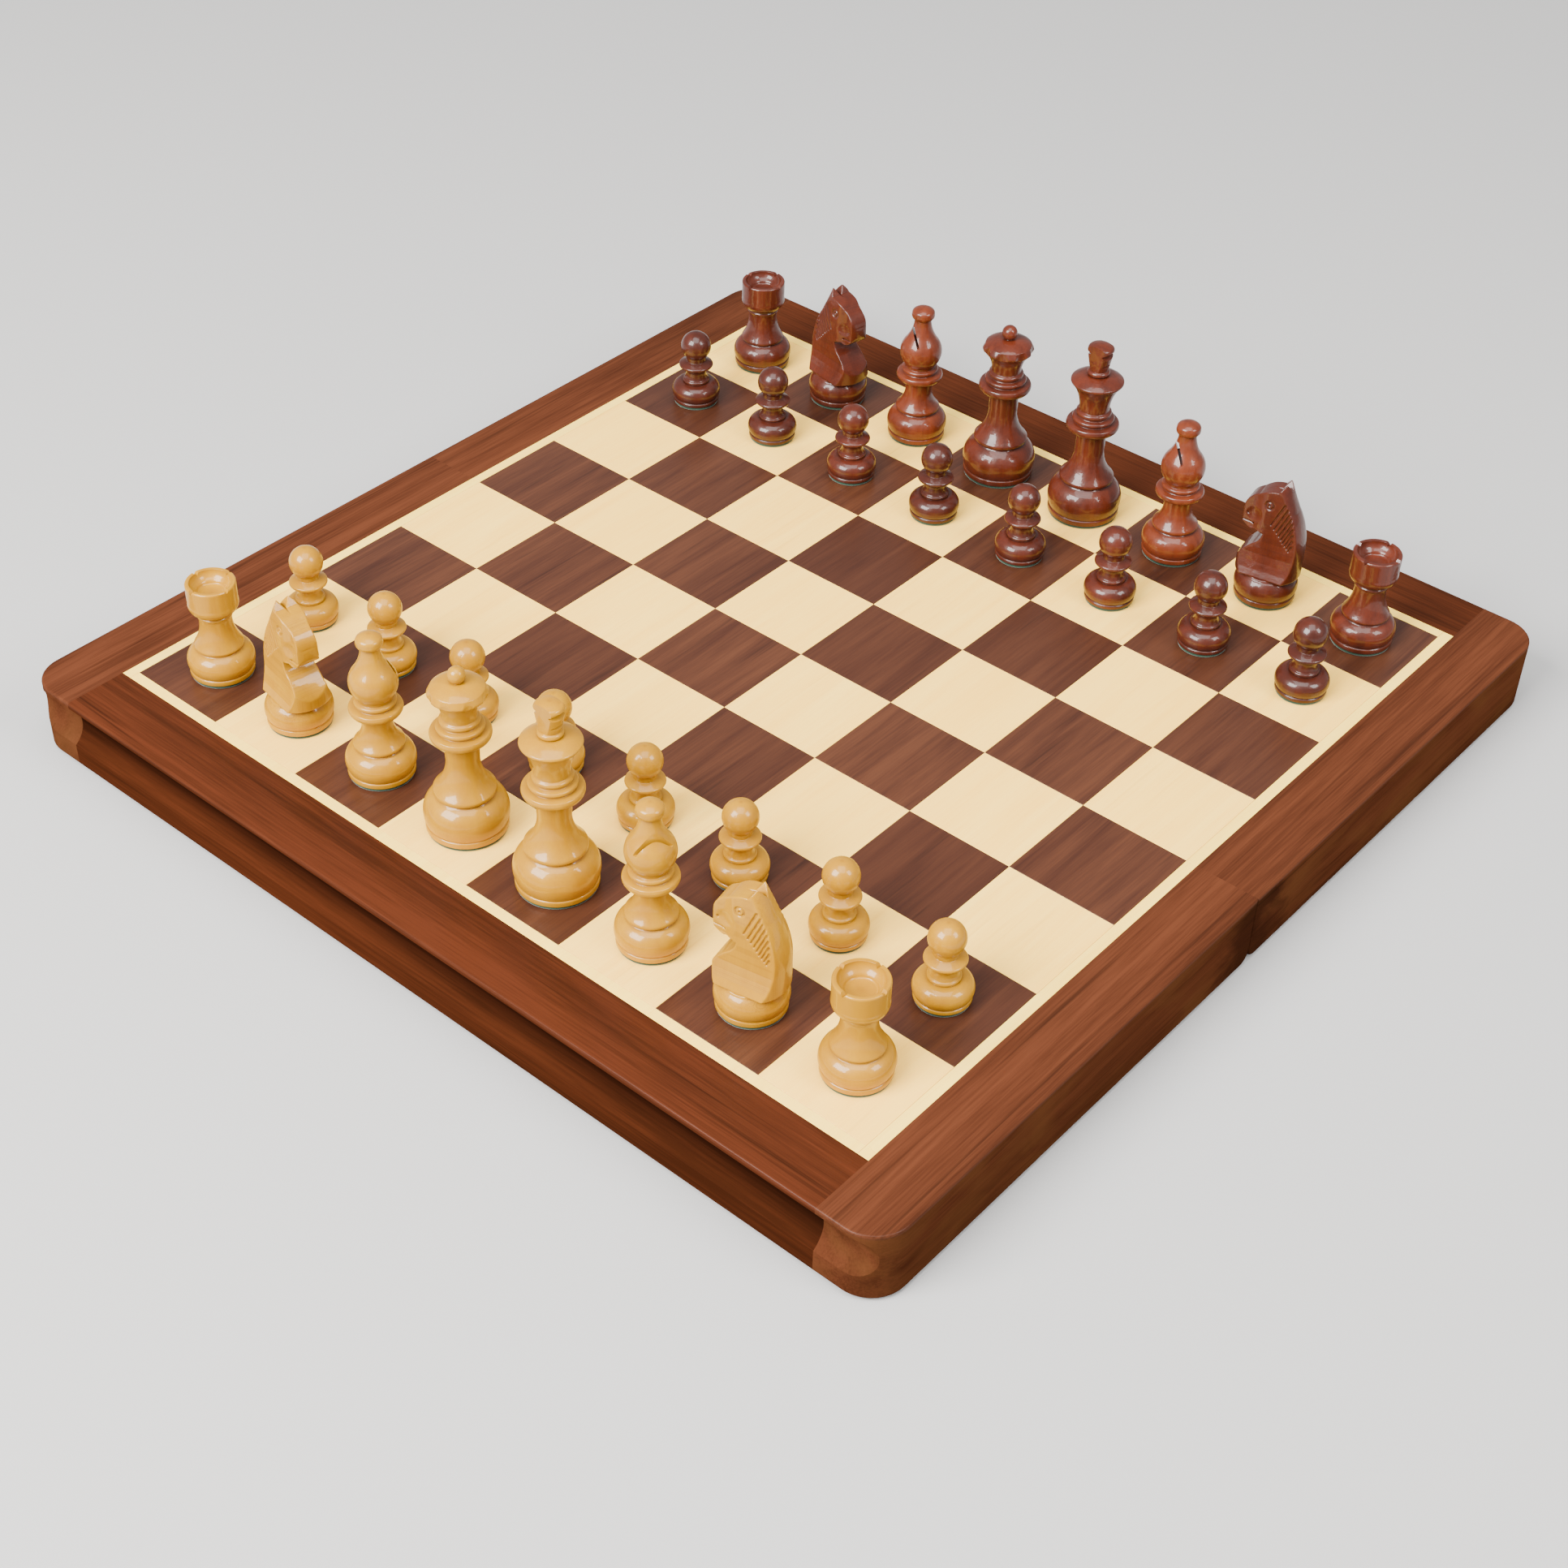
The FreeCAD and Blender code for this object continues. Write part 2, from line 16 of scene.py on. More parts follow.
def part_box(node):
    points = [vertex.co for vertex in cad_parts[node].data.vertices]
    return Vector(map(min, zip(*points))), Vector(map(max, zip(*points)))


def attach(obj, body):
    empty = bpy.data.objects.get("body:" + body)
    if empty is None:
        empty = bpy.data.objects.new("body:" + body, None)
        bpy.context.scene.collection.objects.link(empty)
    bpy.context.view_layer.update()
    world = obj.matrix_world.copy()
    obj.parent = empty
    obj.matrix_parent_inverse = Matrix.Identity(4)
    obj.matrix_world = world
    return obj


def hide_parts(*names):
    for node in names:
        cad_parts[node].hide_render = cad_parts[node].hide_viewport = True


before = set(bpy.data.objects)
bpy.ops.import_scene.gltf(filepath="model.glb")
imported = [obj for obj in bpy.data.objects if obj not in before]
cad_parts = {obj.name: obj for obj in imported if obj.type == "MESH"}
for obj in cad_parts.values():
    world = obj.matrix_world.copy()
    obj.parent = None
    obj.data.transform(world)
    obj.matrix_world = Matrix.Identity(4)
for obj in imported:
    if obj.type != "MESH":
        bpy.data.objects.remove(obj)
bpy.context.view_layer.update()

MM = 0.001
FILES = "abcdefgh"
COUNT = len(FILES)
FIELD_LOW, FIELD_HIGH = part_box("white_light_squares")
STRIP_LOW, STRIP_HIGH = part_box("white_inlay_strips")
TOP = FIELD_HIGH.z                                # playing surface
VENEER = FIELD_HIGH.z - FIELD_LOW.z
SQUARE = (FIELD_HIGH.x - FIELD_LOW.x) / COUNT
BOARD_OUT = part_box("white_side_rails")[1].x       # from the middle to an outer face
CORNER = 12.0 * MM                                # radius of the upright corners
GROOVE_DEPTH = 4.0 * MM
GROOVE_Z = TOP - 9.5 * MM                         # middle of the finger groove

# ---- camera: where it stands and how it looks ----------------------------------------------
CAMERA_AT = (0.4154, -0.5088, 0.5222)
CAMERA_HEADING = 39.61        # degrees left of +Y
CAMERA_TILT = 49.94           # degrees up from straight down
CAMERA_ROLL = 1.68
CAMERA_LENS = 57.03

# ---- chessmen ---------------------------------------------------------------------------------
ROYAL_R = 13.1
BISHOP_R = 11.0
KNIGHT_R = 10.95
ROOK_R = 10.9
PAWN_R = 9.0
MAN_FELT = 0.8
FELT_INSET = 0.8
MAN_LIFT = 0.02               # air under a man's felt
KNIGHT_TURN = 11.0            # degrees the knights look towards white's side
# saw cuts of the bishops on the c- and f-files: azimuth, distance from the axis, outward lean
SLITS = {
    "white": ((95.0, 4.2, 0.0), (-32.0, 4.2, 0.0)),
    "black": ((216.0, 1.0, 20.0), (216.0, 1.2, 18.0)),
}
CROSS_EDGE = 4.2              # from the king's axis to the edge of its cross
KERF_ROLL = 6.0               # degrees that a bishop's saw cut leans sideways
SEGMENTS = 96


# ================================================================ outlines
def arc(start, through, end, spacing=0.12):
    """Points after start along the circle through three points."""
    (ax, ay), (bx, by), (cx, cy) = start, through, end
    d = 2 * (ax * (by - cy) + bx * (cy - ay) + cx * (ay - by))
    a2, b2, c2 = ax * ax + ay * ay, bx * bx + by * by, cx * cx + cy * cy
    ox = (a2 * (by - cy) + b2 * (cy - ay) + c2 * (ay - by)) / d
    oy = (a2 * (cx - bx) + b2 * (ax - cx) + c2 * (bx - ax)) / d
    radius = math.hypot(ax - ox, ay - oy)
    first = math.atan2(ay - oy, ax - ox)
    middle = (math.atan2(by - oy, bx - ox) - first) % math.tau
    sweep = (math.atan2(cy - oy, cx - ox) - first) % math.tau
    if middle > sweep:
        sweep -= math.tau
    count = max(2, round(abs(sweep) * radius / spacing))
    return [(ox + radius * math.cos(first + sweep * k / count),
             oy + radius * math.sin(first + sweep * k / count)) for k in range(1, count + 1)]


def outline(start, steps):
    """Points from a start: a step of 2 numbers is a line, of 4 an arc through the first two."""
    points = [start]
    for step in steps:
        if len(step) == 2:
            points.append(step)
        else:
            points += arc(points[-1], step[:2], step[-2:])
    return points


def spaced(points, spacing):
    """The same line with evenly spaced points."""
    points = np.array(points, float)
    lengths = np.hypot(*np.diff(points, axis=0).T)
    along = np.concatenate([[0.0], np.cumsum(lengths)])
    even = np.linspace(0.0, along[-1], max(8, round(along[-1] / spacing)) + 1)
    return np.column_stack([np.interp(even, along, points[:, k]) for k in (0, 1)])


def thinned(points, tolerance):
    """The points that a line needs to stay within a tolerance (Douglas and Peucker)."""
    keep = np.zeros(len(points), bool)
    keep[[0, -1]] = True
    todo = [(0, len(points) - 1)]
    while todo:
        i, j = todo.pop()
        if j - i < 2:
            continue
        chord = points[j] - points[i]
        size = max(math.hypot(*chord), 1e-9)
        off = points[i + 1:j] - points[i]
        away = np.abs(chord[0] * off[:, 1] - chord[1] * off[:, 0]) / size
        k = int(away.argmax())
        if away[k] > tolerance:
            middle = i + 1 + k
            keep[middle] = True
            todo += [(i, middle), (middle, j)]
    return points[keep]


def softened(points, reach):
    """A lathe outline that starts and ends on the axis, its corners rounded as under lacquer."""
    spacing = 0.06
    line = spaced(points, spacing)
    half = max(1, round(reach / spacing))
    window = np.hanning(2 * half + 3)[1:-1]
    window /= window.sum()
    mirror = np.array([-1.0, 1.0])
    before = line[1:half + 1][::-1] * mirror
    after = line[-half - 1:-1][::-1] * mirror
    padded = np.vstack([before, line, after])
    smooth = np.column_stack([np.convolve(padded[:, k], window, "valid") for k in (0, 1)])
    smooth[0, 0] = smooth[-1, 0] = 0.0
    return thinned(smooth, 0.006)


def crease_of(points, reach=1.6):
    """How deep each outline point lies between its neighbours, from 0 to 1."""
    line = spaced(points, 0.1)
    half = round(reach / 0.1)
    padded = np.pad(line[:, 0], half, mode="edge")
    average = np.convolve(padded, np.ones(2 * half + 1) / (2 * half + 1), "valid")
    sunk = np.clip((average - line[:, 0]) / 0.9, 0.0, 1.0)
    gaps = np.abs(line[None, :, :] - np.array(points)[:, None, :]).sum(axis=2)
    return sunk[gaps.argmin(axis=1)]


# ================================================================ meshes
def mesh_object(name, verts, faces, crease=None, angle=40.0):
    """A smooth-shaded object; verts in millimetres become metres."""
    mesh = bpy.data.meshes.new(name)
    mesh.from_pydata((np.asarray(verts, float) * MM).tolist(), [], faces)
    mesh.validate()
    if crease is not None:
        layer = mesh.attributes.new("crease", "FLOAT", "POINT")
        layer.data.foreach_set("value", np.asarray(crease, np.float32))
    mesh.shade_smooth()
    mesh.set_sharp_from_angle(angle=math.radians(angle))
    thing = bpy.data.objects.new(name, mesh)
    bpy.context.scene.collection.objects.link(thing)
    return thing


def lathe(name, points, segments=SEGMENTS, reshape=None):
    """Closed solid turned about the Z axis; reshape(angle, r, z) may change a point's radius."""
    # how deep each point lies in a crease: the men's wood paints shade there
    crease = crease_of(points)
    angles = np.arange(segments) * math.tau / segments
    verts = [(0.0, 0.0, points[0][1])]
    values = [crease[0]]
    for (r, z), sunk in zip(points[1:-1], crease[1:-1]):
        radii = np.full(segments, r) if reshape is None else reshape(angles, r, z)
        verts += list(zip(radii * np.cos(angles), radii * np.sin(angles), np.full(segments, z)))
        values += [sunk] * segments
    verts.append((0.0, 0.0, points[-1][1]))
    values.append(crease[-1])
    rows = len(points) - 2
    last = len(verts) - 1
    faces = []
    for k in range(segments):
        n = (k + 1) % segments
        faces.append((0, 1 + n, 1 + k))
        for row in range(rows - 1):
            low = 1 + row * segments
            high = low + segments
            faces.append((low + k, low + n, high + n, high + k))
        top = 1 + (rows - 1) * segments
        faces.append((last, top + k, top + n))
    return mesh_object(name, verts, faces, values)


def block(name, size, matrix):
    """A cutting block of a size, placed by a matrix, in millimetres."""
    x, y, z = (s / 2 for s in size)
    ends = (-1, 1)
    corners = [Vector((sx * x, sy * y, sz * z)) for sx in ends for sy in ends for sz in ends]
    faces = [(0, 1, 3, 2), (4, 6, 7, 5), (0, 4, 5, 1), (2, 3, 7, 6), (0, 2, 6, 4), (1, 5, 7, 3)]
    return mesh_object(name, [tuple(matrix @ c) for c in corners], faces)


def wedge(name, tip, outer, half_width, half_length, matrix):
    """A V-shaped cutter: its edge lies along Y at x = tip, and it opens towards x = outer."""
    verts = []
    for y in (-half_length, half_length):
        verts += [(tip, y, 0.0), (outer, y, -half_width), (outer, y, half_width)]
    faces = [(0, 1, 2), (3, 5, 4), (0, 3, 4, 1), (1, 4, 5, 2), (2, 5, 3, 0)]
    return mesh_object(name, [tuple(matrix @ Vector(v)) for v in verts], faces)


def cut(thing, cutters):
    """Takes the cutters out of a mesh and removes them from the scene."""
    for cutter in cutters:
        change = thing.modifiers.new("cut", "BOOLEAN")
        change.operation = "DIFFERENCE"
        change.solver = "EXACT"
        change.object = cutter
        graph = bpy.context.evaluated_depsgraph_get()
        made = bpy.data.meshes.new_from_object(thing.evaluated_get(graph))
        thing.modifiers.clear()
        old = thing.data
        thing.data = made
        bpy.data.meshes.remove(old)
        bpy.data.objects.remove(cutter)
    thing.data.shade_smooth()
    thing.data.set_sharp_from_angle(angle=math.radians(32.0))
    return thing


def turn_z(degrees):
    return Matrix.Rotation(math.radians(degrees), 4, "Z")


# ================================================================ turned men
def bulge(r, z, start_r, start_z, end_r, end_z):
    """Two arcs that meet upright at the widest ring (r, z), from a lower to an upper ring."""
    steps = []
    for ring_r, ring_z in ((start_r, start_z), (end_r, end_z)):
        across = r - ring_r
        rise = ring_z - z
        size = (across ** 2 + rise ** 2) / (2 * across)
        half_angle = math.atan2(rise, size - across) / 2
        middle = (r - size + size * math.cos(half_angle), z + size * math.sin(half_angle))
        steps.append(middle + ((r, z) if ring_z < z else (ring_r, ring_z)))
    return steps


def foot(radius, rim, shoulder_r, shoulder_z):
    """Rim, groove and swelling that every man has, up to the shoulder."""
    rim_r = radius - 0.45
    groove_r = radius - 0.85
    swell_z = rim + 0.38 * (shoulder_z - rim)
    return [
        (rim_r - 0.5, MAN_FELT),
        (rim_r, MAN_FELT + 0.5),
        (rim_r, rim - 0.5),
        (rim_r - 0.1, rim - 0.15, groove_r, rim),
    ] + bulge(radius, swell_z, groove_r, rim, shoulder_r, shoulder_z)


def collar(inner_low, outer, inner_high, low, high):
    """A rounded disc on the stem, between two heights."""
    nose = 0.3 * (high - low)
    return [
        (inner_low, low),
        (outer - 0.5, low + 0.15),
        (outer, low + 0.15 + nose, outer - 0.35, high - 0.35),
        (inner_high, high),
    ]


def dome(radius, z, top):
    """Arc from an edge ring up to the axis, centred on the axis."""
    rise = top - z
    sphere = (radius ** 2 + rise ** 2) / (2 * rise)
    centre = top - sphere
    half_angle = math.atan2(radius, z - centre) / 2
    return [(sphere * math.sin(half_angle), centre + sphere * math.cos(half_angle), 0.0, top)]


def ball(neck, radius, centre):
    """Line up to a ball's neck ring and the arc over it to the axis."""
    low = centre - math.sqrt(radius ** 2 - neck ** 2)
    return [(neck, low), (radius, centre, 0.0, centre + radius)]


def tall_stem():
    """Foot, stem and the three collars that king and queen share."""
    return foot(ROYAL_R, 3.1, 9.2, 13.6) + [
        (8.8, 14.1),
        (9.6, 14.9, 9.5, 15.9),
        (6.5, 20.2, 5.2, 28.0),
        (5.2, 33.6),
    ] + (collar(6.6, 9.3, 7.0, 34.9, 37.9)
         + collar(6.9, 7.4, 5.9, 38.1, 40.1)
         + collar(5.8, 6.2, 5.3, 40.4, 42.5))


def man_outline(steps, reach=0.16):
    return softened(outline((0.0, MAN_FELT), steps), reach)


def king(name):
    body = lathe(name, man_outline(tall_stem() + [
        (6.3, 48.4, 8.9, 53.0),
        (9.25, 53.6, 8.8, 54.2),
        (6.4, 55.5, 3.3, 56.1),
        (3.95, 57.1, 3.2, 58.0),
        (3.9, 61.6, 4.6, 65.6),
        (4.4, 66.6, 3.4, 67.2),
    ] + dome(3.4, 67.2, 68.0)))
    half_slab = 2.9
    cutters = [block("slab", (12, 6, 14), Matrix.Translation((0, side * (half_slab + 3), 65.0)))
               for side in (-1, 1)]
    for side in (0, 180):
        for z, depth, half_width in ((64.4, 2.0, 1.2), (60.3, 1.7, 1.1)):
            place = turn_z(side) @ Matrix.Translation((0, 0, z))
            tip = CROSS_EDGE - depth
            opening = half_width * (6.0 - tip) / depth
            cutters.append(wedge("notch", tip, 6.0, opening, 4.0, place))
    return cut(body, cutters)


def queen(name, depth):
    """Queen with a scalloped coronet of a given depth."""
    flutes = 8
    flute_r = 4.6

    def scallop(angles, r, z):
        if z < 47.5:
            return np.full(len(angles), r)
        sunk = depth * min(1.0, max(0.0, (z - 47.5) / 1.5)) * min(1.0, max(0.0, (54.2 - z) / 0.9))
        centre = 9.1 - sunk + flute_r
        swing = (angles * flutes / math.tau) % 1.0 - 0.5
        across = np.sin(swing * math.tau / flutes) * centre
        reach = np.cos(swing * math.tau / flutes) * centre
        wall = reach - np.sqrt(np.maximum(flute_r ** 2 - across ** 2, 0.0))
        return np.where(np.abs(across) < flute_r, np.minimum(r, wall), r)

    return lathe(name, man_outline(tall_stem() + [
        (6.2, 47.0, 8.6, 50.4),
        (9.1, 51.0, 8.9, 51.7),
        (8.2, 53.1),
        (5.6, 54.4, 1.6, 54.9),
    ] + ball(1.6, 2.75, 57.3)), segments=192, reshape=scallop)


def bishop(name, azimuth, offset, outward):
    body = lathe(name, man_outline(foot(BISHOP_R, 2.9, 7.5, 10.9) + [
        (7.2, 11.3),
        (7.95, 12.0, 7.8, 12.9),
        (5.6, 16.2, 4.85, 20.5),
        (4.9, 23.4),
    ] + collar(5.6, 8.35, 6.3, 24.2, 27.0) + collar(6.2, 6.6, 5.5, 27.2, 29.2) + [
        (5.6, 30.2),
        (7.6, 34.8, 6.1, 39.8),
        (4.15, 43.1, 3.1, 47.0),
        (2.95, 48.2),
        (3.9, 48.9, 4.15, 50.4),
        (4.0, 51.3, 3.3, 52.0),
    ] + dome(3.3, 52.0, 53.0)))
    lean = (Matrix.Rotation(math.radians(KERF_ROLL), 4, "X")
            @ Matrix.Rotation(math.radians(outward), 4, "Y"))
    place = turn_z(azimuth) @ Matrix.Translation((offset, 0, 38.4)) @ lean
    return cut(body, [block("kerf", (0.9, 14, 7), place @ Matrix.Translation((0, 0, 3.5)))])


def rook(name):
    body = lathe(name, man_outline(foot(ROOK_R, 2.9, 7.7, 10.4) + [
        (7.4, 10.9),
        (7.95, 11.5, 7.8, 12.2),
        (5.9, 16.4, 5.3, 21.8),
        (5.35, 22.6),
        (5.75, 23.1, 5.4, 23.7),
        (5.6, 24.3),
        (7.5, 25.6, 8.05, 28.4),
        (8.1, 34.9),
        (7.8, 35.3),
        (6.7, 35.3),
        (6.2, 33.6, 5.1, 32.4),
        (4.7, 31.9),
        (4.4, 31.3, 3.9, 31.1),
        (0.0, 31.0),
    ]))
    depth = 1.3
    tilt = Matrix.Rotation(math.radians(-90.0), 4, "Y")
    cutters = []
    for k in range(4):
        # the wedge's edge points down, and its length lies along the radius
        place = turn_z(k * 90.0) @ Matrix.Translation((7.0, 0, 35.4)) @ turn_z(90.0)
        cutters.append(wedge("notch", -depth, 0.4, 1.2, 2.6, place @ tilt))
    return cut(body, cutters)


def pawn(name):
    neck = 3.7
    return lathe(name, man_outline(foot(PAWN_R, 2.5, 4.7, 8.6) + [
        (5.0, 9.2, 4.4, 9.9),
        (3.8, 11.6, 4.2, 14.4),
        (5.9, 14.9),
        (6.35, 15.6, 5.9, 16.2),
        (neck, 17.3),
    ] + ball(neck, 5.6, 23.2)), segments=80)


# ================================================================ knights
def polygon_distance(points, x, y):
    """Signed distance to a closed polygon, negative inside; x and y broadcast."""
    x, y = np.broadcast_arrays(x, y)
    best = np.full(x.shape, 1e9)
    inside = np.zeros(x.shape, bool)
    for (ax, ay), (bx, by) in zip(points, points[1:] + points[:1]):
        dx, dy = bx - ax, by - ay
        size = dx * dx + dy * dy
        if size < 1e-12:
            continue
        t = np.clip(((x - ax) * dx + (y - ay) * dy) / size, 0.0, 1.0)
        best = np.minimum(best, (x - ax - t * dx) ** 2 + (y - ay - t * dy) ** 2)
        crosses = (ay > y) != (by > y)
        if dy:
            inside ^= crosses & (x < dx * (y - ay) / dy + ax)
    distance = np.sqrt(best)
    return np.where(inside, -distance, distance)


def smooth_max(a, b, k):
    """Larger of two fields, rounded over a width k: meets two solids, or cuts one with -b."""
    h = np.clip(0.5 + 0.5 * (a - b) / k, 0.0, 1.0)
    return b + (a - b) * h + k * h * (1.0 - h)


def smooth_min(a, b, k):
    return -smooth_max(-a, -b, k)


def cheek_half(u, z):
    """Half thickness of the head: flared at the foot, thinner at the ears and the nose."""
    heights = [10.0, 11.2, 13.5, 16.0, 19.0, 24.0, 34.0, 48.0]
    halves = [8.4, 8.2, 7.0, 6.1, 5.45, 5.1, 4.7, 3.7]
    half = np.interp(z, heights, halves)
    nose = np.clip((u - 3.0) / 5.0, 0.0, 1.0) * np.clip((z - 26.0) / 2.0, 0.0, 1.0)
    return half - 1.0 * nose * nose * (3.0 - 2.0 * nose)


# mane cuts: where each starts behind the cheek (forward, up) and how long it is
MANE = [
    (-3.4, 39.4, 9.2), (-4.7, 38.1, 9.2), (-5.6, 36.7, 8.8),
    (-6.4, 35.2, 8.3), (-7.0, 33.4, 7.6), (-7.4, 31.5, 6.6),
    (-7.7, 29.4, 5.2), (-7.9, 27.2, 3.6), (-8.0, 24.9, 2.0),
]
MANE_SLOPE = (0.40, 0.917)    # the way a cut runs: forward, and down
# side view of the head: its back from the foot to the ear's tip, and its face back down
BACK = [(-11.2, 18.0), (-10.3, 28.0, -7.2, 36.2), (-5.2, 41.0, -2.9, 47.0)]
FACE = [(-0.4, 43.4), (2.8, 42.7, 6.4, 40.6), (9.6, 38.0, 10.9, 34.2), (11.2, 31.2, 10.2, 28.7),
        (8.2, 27.4, 5.8, 27.6), (2.6, 26.6), (3.4, 24.2, 5.6, 22.0), (8.8, 18.6, 11.2, 14.6),
        (11.2, 11.0)]


def strokes(u, z):
    """Distance, seen from the side, to the nearest of the mane cuts."""
    best = np.full(np.broadcast(u, z).shape, 1e9)
    forward, down = MANE_SLOPE
    for start_u, start_z, length in MANE:
        along = (u - start_u) * forward - (z - start_z) * down
        along = np.clip(along, 0.0, length)
        off = np.hypot(u - start_u - forward * along, z - start_z + down * along)
        # each cut runs out towards its lower end
        best = np.minimum(best, off + 0.22 * along / length)
    return best


def knight_field(u, w, z):
    """Distance field of a knight that faces +u, with w across it."""
    side = polygon_distance(outline((-11.2, 11.0), BACK + FACE), u, z)
    half = cheek_half(u, z)
    sides = np.abs(w)
    head = smooth_max(side, sides - half, 0.30)
    head = smooth_max(head, np.hypot(u, w) - 11.2, 0.30)
    # the back is left round as it was turned
    turned = np.array(outline((-11.2, 11.0), BACK) + [(0.0, 47.4)])
    back_r = np.interp(z, turned[:, 1], -turned[:, 0])
    head = smooth_max(head, (np.hypot(np.minimum(u, 0.0), w) - back_r) * 0.9, 0.25)
    # V between the ears, open to the front
    valley = np.maximum(sides * 0.85 - (z - 42.9) * 0.55, -4.6 - u)
    head = smooth_max(head, -valley, 0.2)
    level = sides - half
    # hollow under the cheekbone, towards the muzzle
    dish = np.sqrt(((u - 6.6) / 2.6) ** 2 + ((z - 33.0) / 2.2) ** 2 + (level / 0.45) ** 2) - 1.0
    head = smooth_max(head, -dish * 0.45, 0.25)
    # eye: a ring pressed by a hollow punch and a drilled dot
    from_eye = np.hypot(u - 1.9, z - 37.9)
    head = smooth_max(head, 0.40 - np.hypot(from_eye - 1.35, level), 0.08)
    head = smooth_max(head, 0.50 - np.hypot(from_eye, level), 0.08)
    # nostril drilled from the side, and the mouth
    head = smooth_max(head, 0.55 - np.hypot(np.hypot(u - 9.0, z - 32.6), level), 0.15)
    mouth = np.hypot(z - 29.6 - 0.10 * (u - 9.0), np.maximum(level, 6.6 - u))
    head = smooth_max(head, 0.30 - mouth, 0.10)
    return smooth_max(head, 0.48 - np.hypot(strokes(u, z), level), 0.06)


def turned_field(points, u, w, z):
    """Distance field of a turned outline, looked up by radius."""
    step = 0.1
    radii = np.arange(0.0, 17.0, step)
    closed = [tuple(p) for p in points]
    table = polygon_distance(closed, radii[:, None], z.reshape(1, -1))
    radial = np.hypot(u, w)[:, :, 0] / step
    low = np.minimum(radial.astype(int), len(radii) - 2)
    share = (radial - low)[:, :, None]
    return table[low] * (1.0 - share) + table[low + 1] * share


def surface_net(field, origin, step):
    """Quads of a field's zero level: a vertex in every cell that the surface crosses."""
    shape = tuple(n - 1 for n in field.shape)
    total = np.zeros(shape + (3,))
    count = np.zeros(shape)
    corners = [(i, j, k) for i in (0, 1) for j in (0, 1) for k in (0, 1)]

    def corner(c):
        return field[c[0]:c[0] + shape[0], c[1]:c[1] + shape[1], c[2]:c[2] + shape[2]]

    for a in corners:
        for axis in range(3):
            if a[axis]:
                continue
            b = tuple(1 if n == axis else a[n] for n in range(3))
            fa, fb = corner(a), corner(b)
            crosses = (fa < 0) != (fb < 0)
            t = fa[crosses] / (fa[crosses] - fb[crosses])
            for n in range(3):
                total[..., n][crosses] += a[n] + (t if n == axis else 0.0)
            count[crosses] += 1
    used = count > 0
    index = np.full(shape, -1)
    index[used] = np.arange(used.sum())
    cells = np.argwhere(used)
    verts = (cells + total[used] / count[used][:, None]) * step + np.array(origin)
    faces = []
    for axis in range(3):
        one, two = (axis + 1) % 3, (axis + 2) % 3
        ahead = np.take(field, range(1, field.shape[axis]), axis)
        behind = np.take(field, range(field.shape[axis] - 1), axis)
        for rising in (True, False):
            hits = (behind < 0) & (ahead >= 0) if rising else (behind >= 0) & (ahead < 0)
            spots = np.argwhere(hits)
            spots = spots[(spots[:, one] > 0) & (spots[:, two] > 0)]
            spots = spots[(spots[:, one] < shape[one]) & (spots[:, two] < shape[two])]
            ring = []
            for d1, d2 in ((0, 0), (-1, 0), (-1, -1), (0, -1)):
                at = spots.copy()
                at[:, one] += d1
                at[:, two] += d2
                ring.append(index[at[:, 0], at[:, 1], at[:, 2]])
            quads = np.column_stack(ring)
            faces.append(quads if rising else quads[:, ::-1])
    return verts, np.vstack(faces)


def relaxed(verts, faces, rounds, share):
    """Vertices moved towards their neighbours' mean, alternating in and out to keep the size."""
    edges = np.vstack([faces[:, [k, (k + 1) % 4]] for k in range(4)])
    for turn in range(rounds):
        total = np.zeros_like(verts)
        count = np.zeros(len(verts))
        for n in range(3):
            total[:, n] = np.bincount(edges[:, 0], verts[edges[:, 1], n], len(verts))
        count = np.bincount(edges[:, 0], minlength=len(verts))
        step = share if turn % 2 == 0 else -share * 0.9
        verts = verts + step * (total / count[:, None] - verts)
    return verts


def blurred(values, reach):
    """Box blur of a 3-D array along each axis."""
    for axis in range(3):
        pad = [(reach + 1, reach) if n == axis else (0, 0) for n in range(3)]
        sums = np.cumsum(np.pad(values, pad, mode="edge"), axis=axis)
        width = 2 * reach + 1
        high = np.take(sums, range(width, sums.shape[axis]), axis)
        low = np.take(sums, range(sums.shape[axis] - width), axis)
        values = (high - low) / width
    return values


def knight_mesh():
    """Verts, faces and crease values of a knight that faces +X."""
    step = 0.2
    u = np.arange(-11.6, 11.7, step)
    w = np.arange(-11.6, 11.7, step)
    z = np.arange(0.2, 47.6, step)
    grid = (u[:, None, None], w[None, :, None], z[None, None, :])
    base = turned_field(man_outline(foot(KNIGHT_R, 3.0, 8.8, 10.4) + [
        (8.6, 10.9), (0.0, 11.6)]), *grid)
    field = smooth_min(knight_field(*grid), base, 0.15)
    verts, faces = surface_net(field, (u[0], w[0], z[0]), step)
    verts = relaxed(verts, faces, 2, 0.5)
    # fullness around each point: high in hollows, where the men's wood paints shade
    fullness = blurred((field < 0).astype(np.float32), 3)
    cells = np.round((verts - np.array([u[0], w[0], z[0]])) / step).astype(int)
    full = fullness[tuple(cells[:, n].clip(0, fullness.shape[n] - 1) for n in range(3))]
    return verts, faces, np.clip((full - 0.53) * 6.0, 0.0, 1.0)


# ================================================================ setting the men out
def square_centre(file_index, rank):
    x = (file_index - (COUNT - 1) / 2) * SQUARE
    y = (rank - (COUNT + 1) / 2) * SQUARE
    return Vector((x, y, TOP + MAN_LIFT * MM))


def place_man(body, node, army, place):
    """Bakes a man's place into its mesh and lets it ride on its body."""
    body.data.transform(Matrix.Translation(place))
    body.data.materials.clear()
    kind = node.split("_")[1]
    body.data.materials.append(MEN_WOOD.get((army, kind), MEN_WOOD[army, "plain"]))
    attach(body, node)
    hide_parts(node)


